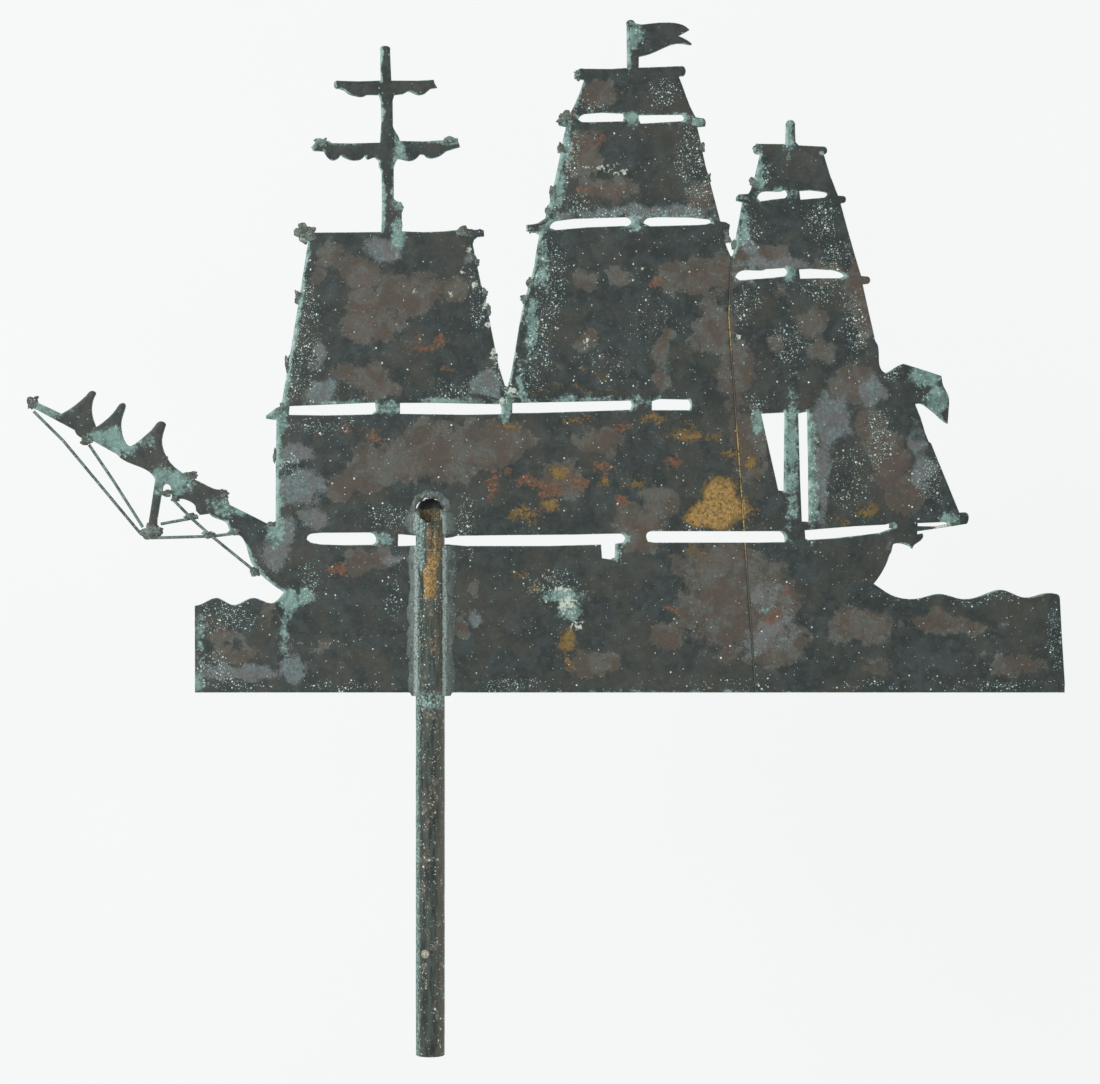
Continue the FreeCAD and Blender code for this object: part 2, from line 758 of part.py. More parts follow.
D = fill_table()
ZERO = 0.0


# ------------------------------------------------------------------------------------------------
# Bodies, sketches and features.

def new_body(label, in_pieces=False):
    body = doc.addObject("PartDesign::Body", label)
    body.Label = label
    body.AllowCompound = in_pieces
    return body


def new_sketch(body, role, name):
    sketch = body.newObject("Sketcher::SketchObject", name)
    plane = [item for item in body.Origin.OriginFeatures if item.Role == role][0]
    sketch.AttachmentSupport = [(plane, "")]
    sketch.MapMode = "FlatFace"
    return sketch


def point(spot):
    return FreeCAD.Vector(spot[0], spot[1], 0)


def draw_outline(sketch, outline):
    """Draw a closed outline: corners, and inner lists that are flowing cuts."""
    first = 0 if isinstance(outline[0], tuple) else 1
    outline = outline[first:] + outline[:first] + [outline[first]]
    cuts = []
    here = outline[0]
    bends = []
    for item in outline[1:]:
        if isinstance(item, list):
            bends = item
            continue
        if bends:
            cut = Part.BSplineCurve()
            cut.interpolate([point(spot) for spot in [here, *bends, item]])
        else:
            cut = Part.LineSegment(point(here), point(item))
        cuts.append(cut)
        here = item
        bends = []
    sketch.addGeometry(cuts, False)


def draw_bound(sketch, corners):
    """Draw a closed outline of straight lines whose corners stay bound to the table."""
    count = len(corners)
    spots = [point((number(across), number(up))) for across, up in corners]
    for index in range(count):
        sketch.addGeometry(Part.LineSegment(spots[index], spots[(index + 1) % count]), False)
    for index in range(count):
        sketch.addConstraint(Sketcher.Constraint("Coincident", index, 2, (index + 1) % count, 1))
    for index, (across, up) in enumerate(corners):
        for kind, length in (("DistanceX", across), ("DistanceY", up)):
            rule = sketch.addConstraint(Sketcher.Constraint(kind, -1, 1, index, 1, number(length)))
            if isinstance(length, Size):
                bind(sketch, f"Constraints[{rule}]", length)


def draw_circle(sketch, centre, radius):
    across, up = centre
    circle = Part.Circle(point((number(across), number(up))), FreeCAD.Vector(0, 0, 1), number(radius))
    ring = sketch.addGeometry(circle, False)
    for kind, length in (("DistanceX", across), ("DistanceY", up)):
        rule = sketch.addConstraint(Sketcher.Constraint(kind, -1, 1, ring, 3, number(length)))
        if isinstance(length, Size):
            bind(sketch, f"Constraints[{rule}]", length)
    rule = sketch.addConstraint(Sketcher.Constraint("Radius", ring, number(radius)))
    bind(sketch, f"Constraints[{rule}]", radius)


def pad_both_ways(body, sketch, thickness, name="pad"):
    pad = body.newObject("PartDesign::Pad", name)
    pad.Profile = sketch
    pad.SideType = "Symmetric"
    pad.Refine = False
    bind(pad, "Length", thickness)
    return pad


def cut_through(body, sketch, name="cut"):
    pocket = body.newObject("PartDesign::Pocket", name)
    pocket.Profile = sketch
    pocket.Type = "ThroughAll"
    pocket.SideType = "Symmetric"
    pocket.Refine = False
    return pocket


def turn_whole(body, corners, name="turning"):
    """A turned piece: half its section, as (radius, height) corners, spun round the Z axis."""
    sketch = new_sketch(body, "XZ_Plane", name + "_section")
    draw_bound(sketch, corners)
    turning = body.newObject("PartDesign::Revolution", name)
    turning.Profile = sketch
    turning.ReferenceAxis = (sketch, ["V_Axis"])
    turning.Angle = 360
    return turning


def cut_pin_hole(body):
    """The hole for the bush's pin, from the turning axis out through the front wall."""
    sketch = new_sketch(body, "XZ_Plane", "pin_hole_section")
    turn = FreeCAD.Rotation(FreeCAD.Vector(0, 1, 0), -D["pin_turn"].value)
    sketch.AttachmentOffset = FreeCAD.Placement(FreeCAD.Vector(), turn)
    draw_circle(sketch, (ZERO, D["pin_height"]), D["pin_od"] / 2)
    hole = body.newObject("PartDesign::Pocket", "pin_hole")
    hole.Profile = sketch
    hole.Type = "Length"
    hole.Reversed = True
    bind(hole, "Length", D["tube_od"])
    return hole


# ------------------------------------------------------------------------------------------------
# The fixed spindle and what it carries.

tube_radius = D["tube_od"] / 2
bore_radius = tube_radius - D["tube_wall"]
half_gauge = D["sheet_gauge"] / 2


def make_cup():
    """The hollow in which the thrust ball sits, shared by the rod and the plug."""
    cup = doc.addObject("Part::Sphere", "ball_cup")
    bind(cup, "Radius", D["ball_od"] / 2 + D["cup_play"])
    bind(cup, "Placement.Base.z", D["ball_height"])
    return cup


def hollowed(label, blank, cup):
    piece = doc.addObject("Part::Cut", label)
    piece.Label = label
    piece.Base = blank
    piece.Tool = cup
    return piece


def make_spindle_rod(cup):
    radius = D["rod_od"] / 2
    chamfer = D["rod_chamfer"]
    blank = new_body("rod_blank")
    turn_whole(blank, [
        (D["screw_bore"] / 2, ZERO),
        (radius - chamfer, ZERO),
        (radius, chamfer),
        (radius, D["rod_top"] - chamfer),
        (radius - chamfer, D["rod_top"]),
        (ZERO, D["rod_top"]),
        (ZERO, D["screw_depth"] + D["drill_cone"]),
        (D["screw_bore"] / 2, D["screw_depth"]),
    ])
    return hollowed("spindle_rod", blank, cup)


def make_thrust_ball():
    ball = doc.addObject("Part::Sphere", "thrust_ball")
    ball.Label = "thrust_ball"
    bind(ball, "Radius", D["ball_od"] / 2)
    bind(ball, "Placement.Base.z", D["ball_height"])
    return ball


# ------------------------------------------------------------------------------------------------
# The tube and what is fixed inside it.

def make_spindle_tube():
    body = new_body("spindle_tube")
    head = D["mouth_height"] + D["mouth_rise"]
    turn_whole(body, [(bore_radius, ZERO), (tube_radius, ZERO), (tube_radius, head), (bore_radius, head)])
    slant = new_sketch(body, "YZ_Plane", "slanted_mouth")
    draw_bound(slant, [
        (-D["tube_od"], D["mouth_height"] - D["mouth_rise"]),
        (D["tube_od"], D["mouth_height"] + D["mouth_rise"]),
        (-D["tube_od"], D["mouth_height"] + D["mouth_rise"] * 2),
    ])
    cut_through(body, slant, "mouth_cut")
    cut_pin_hole(body)
    return body


def make_pivot_plug(cup):
    chamfer = D["bush_chamfer"]
    blank = new_body("plug_blank")
    turn_whole(blank, [
        (ZERO, D["plug_foot"]),
        (bore_radius - chamfer, D["plug_foot"]),
        (bore_radius, D["plug_foot"] + chamfer),
        (bore_radius, D["plug_top"] - chamfer),
        (bore_radius - chamfer, D["plug_top"]),
        (ZERO, D["plug_top"]),
    ])
    return hollowed("pivot_plug", blank, cup)


def make_lower_bush():
    body = new_body("lower_bush")
    inner = D["rod_od"] / 2 + D["bush_play"]
    chamfer = D["bush_chamfer"]
    head = D["bush_foot"] + D["bush_length"]
    turn_whole(body, [
        (inner + chamfer, D["bush_foot"]),
        (bore_radius, D["bush_foot"]),
        (bore_radius, head),
        (inner + chamfer, head),
        (inner, head - chamfer),
        (inner, D["bush_foot"] + chamfer),
    ])
    cut_pin_hole(body)
    return body


def make_bush_pin():
    """A pin driven in from the front, with a shallow head that sits on the tube."""
    body = new_body("bush_pin")
    sketch = new_sketch(body, "XY_Plane", "pin_section")
    turn = FreeCAD.Rotation(FreeCAD.Vector(0, 0, 1), -D["pin_turn"].value)
    sketch.AttachmentOffset = FreeCAD.Placement(FreeCAD.Vector(0, 0, D["pin_height"].value), turn)
    bind(sketch, "AttachmentOffset.Base.z", D["pin_height"])
    shank = D["pin_od"] / 2
    head = D["pin_head_od"] / 2
    draw_bound(sketch, [
        (ZERO, -D["pin_tip"]),
        (shank, -D["pin_tip"]),
        (shank, -tube_radius),
        (head, -tube_radius),
        (head, -(tube_radius + D["pin_head_rim"])),
        (head / 2, -(tube_radius + D["pin_head_crown"])),
        (ZERO, -(tube_radius + D["pin_head_crown"])),
    ])
    turning = body.newObject("PartDesign::Revolution", "turning")
    turning.Profile = sketch
    turning.ReferenceAxis = (sketch, ["V_Axis"])
    turning.Angle = 360
    return body


# ------------------------------------------------------------------------------------------------
# The two sheets and the seam between them.

def seam_side(offset):
    """The seam's corners moved sideways, from the notch between the sails down to the lower edge."""
    return [(across + offset, up) for across, up in SEAM]


def make_sheet(label, outline, slots):
    body = new_body(label)
    sketch = new_sketch(body, "XZ_Plane", "outline")
    draw_outline(sketch, outline)
    pad_both_ways(body, sketch, D["sheet_gauge"], "sheet")
    for name, slot in slots.items():
        pierced = new_sketch(body, "XZ_Plane", name)
        draw_outline(pierced, slot)
        cut_through(body, pierced, name + "_cut")
    return body


def cut_tube_slot(body):
    """The slot that takes the tube: open at the lower edge, with an arched head."""
    sketch = new_sketch(body, "XZ_Plane", "tube_slot")
    width = tube_radius + D["slot_play"]
    radius = width.value
    spring = D["mouth_height"].value
    foot = D["sheet_foot"].value - D["tube_od"].value
    arch = Part.Circle(point((0, spring)), FreeCAD.Vector(0, 0, 1), radius)
    sketch.addGeometry([
        Part.LineSegment(point((radius, foot)), point((radius, spring))),
        Part.ArcOfCircle(arch, 0, math.pi),
        Part.LineSegment(point((-radius, spring)), point((-radius, foot))),
        Part.LineSegment(point((-radius, foot)), point((radius, foot))),
    ], False)
    sketch.addConstraint([
        Sketcher.Constraint("Tangent", 0, 2, 1, 1),
        Sketcher.Constraint("Tangent", 1, 2, 2, 1),
        Sketcher.Constraint("Coincident", 2, 2, 3, 1),
        Sketcher.Constraint("Coincident", 3, 2, 0, 1),
        Sketcher.Constraint("Vertical", 0),
        Sketcher.Constraint("Horizontal", 3),
        Sketcher.Constraint("PointOnObject", 1, 3, -2),
    ])
    head = sketch.addConstraint(Sketcher.Constraint("DistanceY", -1, 1, 1, 3, spring))
    bind(sketch, f"Constraints[{head}]", D["mouth_height"])
    girth = sketch.addConstraint(Sketcher.Constraint("Radius", 1, radius))
    bind(sketch, f"Constraints[{girth}]", width)
    low = sketch.addConstraint(Sketcher.Constraint("DistanceY", -1, 1, 3, 1, foot))
    bind(sketch, f"Constraints[{low}]", D["sheet_foot"] - D["tube_od"])
    cut_through(body, sketch, "tube_slot_cut")


def make_seam_braze():
    body = new_body("seam_braze", in_pieces=True)
    half = D["seam_width"].value / 2
    sketch = new_sketch(body, "XZ_Plane", "bead")
    draw_outline(sketch, seam_side(-half) + seam_side(half)[::-1])
    pad_both_ways(body, sketch, D["sheet_gauge"] + D["seam_crown"] * 2, "bead_pad")
    slot = new_sketch(body, "XZ_Plane", "waist_slot")
    draw_outline(slot, WAIST_SLOT_AFTER)
    cut_through(body, slot, "waist_slot_cut")
    return body


# ------------------------------------------------------------------------------------------------
# Solder along the tube.

def make_tube_solder(label, side, face, width):
    """A run of solder in the corner of tube and sheet: side is -1 left or 1 right, face -1 front."""
    body = new_body(label, in_pieces=True)
    sketch = new_sketch(body, "XY_Plane", "corner_section")
    gauge = half_gauge.value
    radius = tube_radius.value
    root = math.sqrt(radius ** 2 - gauge ** 2)
    toe = root + width.value
    climb = math.radians(SOLDER_CLIMB)
    half_climb = (climb + math.asin(gauge / radius)) / 2
    lip = (radius * math.cos(climb), radius * math.sin(climb))
    middle = (radius * math.cos(half_climb), radius * math.sin(half_climb))
    crown = ((toe + lip[0]) / 2, (gauge + lip[1]) / 2 - SOLDER_HOLLOW)

    def placed(spot):
        return FreeCAD.Vector(side * spot[0], face * spot[1], 0)

    surface = Part.BSplineCurve()
    surface.interpolate([placed(lip), placed(crown), placed((toe, gauge))])
    sketch.addGeometry([
        Part.LineSegment(placed((toe, gauge)), placed((root, gauge))),
        Part.Arc(placed((root, gauge)), placed(middle), placed(lip)),
        surface,
    ], False)
    sketch.AttachmentOffset = FreeCAD.Placement(FreeCAD.Vector(0, 0, D["sheet_foot"].value),
                                                FreeCAD.Rotation())
    bind(sketch, "AttachmentOffset.Base.z", D["sheet_foot"])
    run = body.newObject("PartDesign::Pad", "run")
    run.Profile = sketch
    bind(run, "Length", D["band_top"] - D["sheet_foot"])
    window = new_sketch(body, "XZ_Plane", "waist_gap")
    reach = D["tube_od"] * 2
    draw_bound(window, [
        (-reach, D["band_gap_foot"]),
        (reach, D["band_gap_foot"]),
        (reach, D["band_gap_head"]),
        (-reach, D["band_gap_head"]),
    ])
    cut_through(body, window, "waist_gap_cut")
    return body


def make_arch_solder():
    """The solder round the arched head of the slot, on the front face."""
    body = new_body("arch_solder")
    sketch = new_sketch(body, "XZ_Plane", "arch")
    inner = (tube_radius + D["slot_play"]).value
    outer = inner + D["arch_width"].value
    spring = D["mouth_height"].value
    up = FreeCAD.Vector(0, 0, 1)
    sketch.addGeometry([
        Part.ArcOfCircle(Part.Circle(point((0, spring)), up, inner), 0, math.pi),
        Part.LineSegment(point((-inner, spring)), point((-outer, spring))),
        Part.ArcOfCircle(Part.Circle(point((0, spring)), up, outer), 0, math.pi),
        Part.LineSegment(point((outer, spring)), point((inner, spring))),
    ], False)
    sketch.AttachmentOffset = FreeCAD.Placement(FreeCAD.Vector(0, 0, half_gauge.value),
                                                FreeCAD.Rotation())
    bind(sketch, "AttachmentOffset.Base.z", half_gauge)
    ring = body.newObject("PartDesign::Pad", "ring")
    ring.Profile = sketch
    bind(ring, "Length", D["arch_depth"])
    return body


# ------------------------------------------------------------------------------------------------
# Stay wires and the solder that holds them.

def bent_line(corners, bend):
    """Straight runs joined by tangent arcs, in the sketch plane."""
    cuts = []
    here = point(corners[0])
    for index in range(1, len(corners) - 1):
        before, corner, after = (point(spot) for spot in corners[index - 1:index + 2])
        arriving = (corner - before).normalize()
        leaving = (after - corner).normalize()
        half_turn = arriving.getAngle(leaving) / 2
        shortest = min((corner - before).Length, (after - corner).Length)
        trim = min(bend * math.tan(half_turn), shortest * STAY_BEND_SHARE)
        radius = trim / math.tan(half_turn)
        start = corner - arriving * trim
        end = corner + leaving * trim
        towards_centre = (leaving - arriving).normalize()
        centre = corner + towards_centre * (radius / math.cos(half_turn))
        middle = centre - towards_centre * radius
        cuts.append(Part.LineSegment(here, start))
        cuts.append(Part.Arc(start, middle, end))
        here = end
    cuts.append(Part.LineSegment(here, point(corners[-1])))
    return cuts


def make_wire(label, corners, forward=None):
    """A bent stay wire. forward is how far it stands in front of the sheet's middle plane."""
    body = new_body(label)
    route = new_sketch(body, "XZ_Plane", "route")
    for cut in bent_line(corners, STAY_BEND):
        route.addGeometry(cut, False)
    if forward is not None:
        route.AttachmentOffset = FreeCAD.Placement(FreeCAD.Vector(0, 0, forward.value),
                                                   FreeCAD.Rotation())
        bind(route, "AttachmentOffset.Base.z", forward)
    doc.recompute()
    section = body.newObject("Sketcher::SketchObject", "section")
    section.AttachmentSupport = [(route, "Edge1")]
    section.MapMode = "NormalToEdge"
    section.MapPathParameter = 0
    draw_circle(section, (ZERO, ZERO), D["wire_od"] / 2)
    doc.recompute()
    pipe = body.newObject("PartDesign::AdditivePipe", "wire")
    pipe.Profile = section
    pipe.Spine = (route, [f"Edge{index + 1}" for index in range(len(route.Shape.Edges))])
    return body


def make_bow(sheet):
    """The bowsprit and the stem cut from the sheet, which is all that the stays' solder meets."""
    region = doc.addObject("Part::Box", "bow_region")
    region.Placement.Base = FreeCAD.Vector(BOW_REGION["left"], -BOW_REGION["depth"] / 2, BOW_REGION["foot"])
    region.Length = BOW_REGION["right"] - BOW_REGION["left"]
    region.Width = BOW_REGION["depth"]
    region.Height = BOW_REGION["head"] - BOW_REGION["foot"]
    bow = doc.addObject("Part::Common", "bow")
    bow.Base = sheet
    bow.Tool = region
    return bow


def make_lump(x, z, half_length, half_height, half_depth):
    """One lump: an oval drop that reaches as far in front of the sheet as behind it."""
    oval = doc.addObject("Part::Ellipse", "drop_outline")
    oval.MajorRadius = max(half_length, half_height)
    oval.MinorRadius = min(half_length, half_height)
    upright = FreeCAD.Rotation(FreeCAD.Vector(1, 0, 0), 90)
    along = FreeCAD.Rotation(FreeCAD.Vector(0, 0, 1), 90 if half_height > half_length else 0)
    oval.Placement = FreeCAD.Placement(FreeCAD.Vector(x, 0, z), upright.multiply(along))
    drop = doc.addObject("Part::Extrusion", "drop")
    drop.Base = oval
    drop.DirMode = "Custom"
    drop.Dir = FreeCAD.Vector(0, 1, 0)
    drop.LengthFwd = half_depth * 2
    drop.Symmetric = True
    drop.Solid = True
    return drop


def make_solder(label, lumps, hosts):
    """Lumps of solder that hug the edges of the pieces they hold."""
    shapes = [make_lump(*lump) for lump in lumps]
    if len(shapes) > 1:
        blank = doc.addObject("Part::MultiFuse", label + "_blank")
        blank.Shapes = shapes
    else:
        blank = shapes[0]
    piece = doc.addObject("Part::Cut", label)
    piece.Label = label
    piece.Base = blank
    piece.Tool = hosts
    return piece


# ------------------------------------------------------------------------------------------------
# The assembly.

def build():
    cup = make_cup()
    nodes = [
        make_spindle_rod(cup),
        make_thrust_ball(),
        make_spindle_tube(),
        make_pivot_plug(cup),
        make_lower_bush(),
        make_bush_pin(),
    ]
    half_seam = D["seam_width"].value / 2
    fore_sheet = make_sheet("fore_sheet", FORE_OUTLINE + seam_side(-half_seam), FORE_SLOTS)
    cut_tube_slot(fore_sheet)
    after_sheet = make_sheet("after_sheet", AFTER_OUTLINE + seam_side(half_seam)[::-1], AFTER_SLOTS)
    braze = make_seam_braze()
    nodes += [fore_sheet, after_sheet, braze]
    for face, face_name in ((-1, "front"), (1, "back")):
        nodes.append(make_tube_solder(f"tube_solder_{face_name}_left", -1, face, D["left_band"]))
        nodes.append(make_tube_solder(f"tube_solder_{face_name}_right", 1, face, D["right_band"]))
    nodes.append(make_arch_solder())
    wires = [
        make_wire("outer_stay_wire", OUTER_STAY),
        make_wire("inner_stay_wire", INNER_STAY),
        make_wire("backrope_wire", BACKROPE),
        make_wire("cross_stay_wire", CROSS_STAY, D["wire_od"] + D["wire_play"]),
    ]
    nodes += wires
    stay_hosts = doc.addObject("Part::Compound", "stay_hosts")
    stay_hosts.Links = [make_bow(fore_sheet), *wires]
    nodes += [make_solder(label, lumps, stay_hosts) for label, lumps in STAY_SOLDER.items()]
    nodes += [make_solder(label, lumps, fore_sheet) for label, lumps in FORE_RIGGING.items()]
    nodes += [make_solder(label, lumps, after_sheet) for label, lumps in AFTER_RIGGING.items()]
    doc.recompute()
    return nodes


def check(nodes):
    """Stop with the faults' names if any feature failed or any piece is not a sound solid."""
    faults = [f"{item.Name}: {item.State}" for item in doc.Objects
              if "Invalid" in item.State or "Error" in item.State]
    for node in nodes:
        shape = node.Shape
        if shape.isNull() or not shape.isValid() or not shape.Solids:
            faults.append(f"{node.Label}: not a valid solid")
    if faults:
        raise RuntimeError("; ".join(faults))


def export(nodes):
    os.makedirs("parts", exist_ok=True)
    for node in nodes:
        node.Shape.exportStep(f"parts/{node.Label}.step")
        box = node.Shape.BoundBox
        print(f"{node.Label:26s} solids {len(node.Shape.Solids):2d}  volume {node.Shape.Volume:10.1f}  "
              f"x {box.XMin:7.1f} {box.XMax:7.1f}  y {box.YMin:6.2f} {box.YMax:6.2f}  "
              f"z {box.ZMin:6.1f} {box.ZMax:6.1f}")


vane = build()
check(vane)
export(vane)
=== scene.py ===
import math
import random

import bmesh
import bpy
import numpy as np
from mathutils import Euler, Matrix, Vector, geometry, kdtree, noise


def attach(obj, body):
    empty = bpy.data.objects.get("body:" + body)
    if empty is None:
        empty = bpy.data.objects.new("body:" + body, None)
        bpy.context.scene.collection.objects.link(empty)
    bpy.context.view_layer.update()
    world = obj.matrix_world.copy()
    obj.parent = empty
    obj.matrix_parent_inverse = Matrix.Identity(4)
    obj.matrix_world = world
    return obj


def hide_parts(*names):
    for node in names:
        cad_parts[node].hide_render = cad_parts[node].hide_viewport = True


# A ship-shaped weather vane in weathered sheet copper. Lengths below are in millimetres, in the
# part's own frame, and become metres where a mesh is made.

MM = 0.001

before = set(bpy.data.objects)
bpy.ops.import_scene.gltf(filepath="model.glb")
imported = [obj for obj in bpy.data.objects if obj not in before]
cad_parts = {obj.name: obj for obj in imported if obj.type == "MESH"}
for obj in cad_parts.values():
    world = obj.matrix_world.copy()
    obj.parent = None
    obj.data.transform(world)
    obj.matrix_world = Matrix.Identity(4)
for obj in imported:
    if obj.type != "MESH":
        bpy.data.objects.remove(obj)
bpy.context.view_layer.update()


# ------------------------------------------------------------------------------------------------
# Colours and nodes.

def colour(code):
    """An sRGB hex colour as linear RGBA."""
    parts = [int(code[i:i + 2], 16) / 255 for i in (1, 3, 5)]
    return [c / 12.92 if c <= 0.04045 else ((c + 0.055) / 1.055) ** 2.4 for c in parts] + [1.0]


class Graph:
    """A material's node tree, with short ways to add and join its nodes."""

    def __init__(self, name):
        self.material = bpy.data.materials.new(name)
        self.material.use_nodes = True
        self.tree = self.material.node_tree
        self.tree.nodes.clear()
        self.spot = self.add("ShaderNodeTexCoord").outputs["Object"]

    def add(self, kind, inputs=None, **settings):
        node = self.tree.nodes.new(kind)
        for name, value in settings.items():
            setattr(node, name, value)
        for name, value in (inputs or {}).items():
            if isinstance(value, bpy.types.NodeSocket):
                self.tree.links.new(value, node.inputs[name])
            else:
                node.inputs[name].default_value = value
        return node

    def math(self, operation, first, second=0.0):
        return self.add("ShaderNodeMath", {0: first, 1: second}, operation=operation).outputs[0]

    def noise(self, size, detail=3.0, rough=0.55, warp=0.0, shift=0.0, spot=None):
        """Smooth noise from 0 to 1 whose main blots are about `size` mm across."""
        moved = self.add("ShaderNodeVectorMath", {0: spot or self.spot, 1: (shift, shift * 0.7, -shift)},
                         operation="ADD").outputs[0]
        return self.add("ShaderNodeTexNoise", {
            "Vector": moved, "Scale": 1000 / size, "Detail": detail, "Roughness": rough,
            "Distortion": warp}).outputs["Fac"]

    def cells(self, size, feature="F1", smooth=0.0, spot=None):
        """Distance to the nearest of scattered points about `size` mm apart."""
        return self.add("ShaderNodeTexVoronoi", {"Vector": spot or self.spot, "Scale": 1000 / size},
                        feature=feature).outputs["Distance"]

    def step(self, value, low_edge, high_edge):
        """0 below low_edge, 1 above high_edge, smooth between. The edges may be either way round."""
        return self.add("ShaderNodeMapRange", {
            "Value": value, "From Min": low_edge, "From Max": high_edge},
            interpolation_type="SMOOTHSTEP").outputs["Result"]

    def field(self, name):
        return self.add("ShaderNodeAttribute", attribute_name=name,
                        attribute_type="GEOMETRY").outputs["Fac"]

    def mix(self, factor, first, second):
        return self.add("ShaderNodeMix", {0: factor, 6: first, 7: second}, data_type="RGBA").outputs[2]

    def lerp(self, factor, first, second):
        return self.add("ShaderNodeMix", {0: factor, 2: first, 3: second}, data_type="FLOAT").outputs[0]

    def finish(self, base, rough, metal, height, depth):
        """Ends the material. height is 0 to 1 and depth is how many mm of relief that stands for."""
        bump = self.add("ShaderNodeBump", {"Strength": 1.0, "Distance": depth * MM, "Height": height})
        surface = self.add("ShaderNodeBsdfPrincipled", {
            "Base Color": base, "Roughness": rough, "Metallic": metal, "Normal": bump.outputs[0]})
        self.add("ShaderNodeOutputMaterial", {"Surface": surface.outputs[0]})
        return self.material
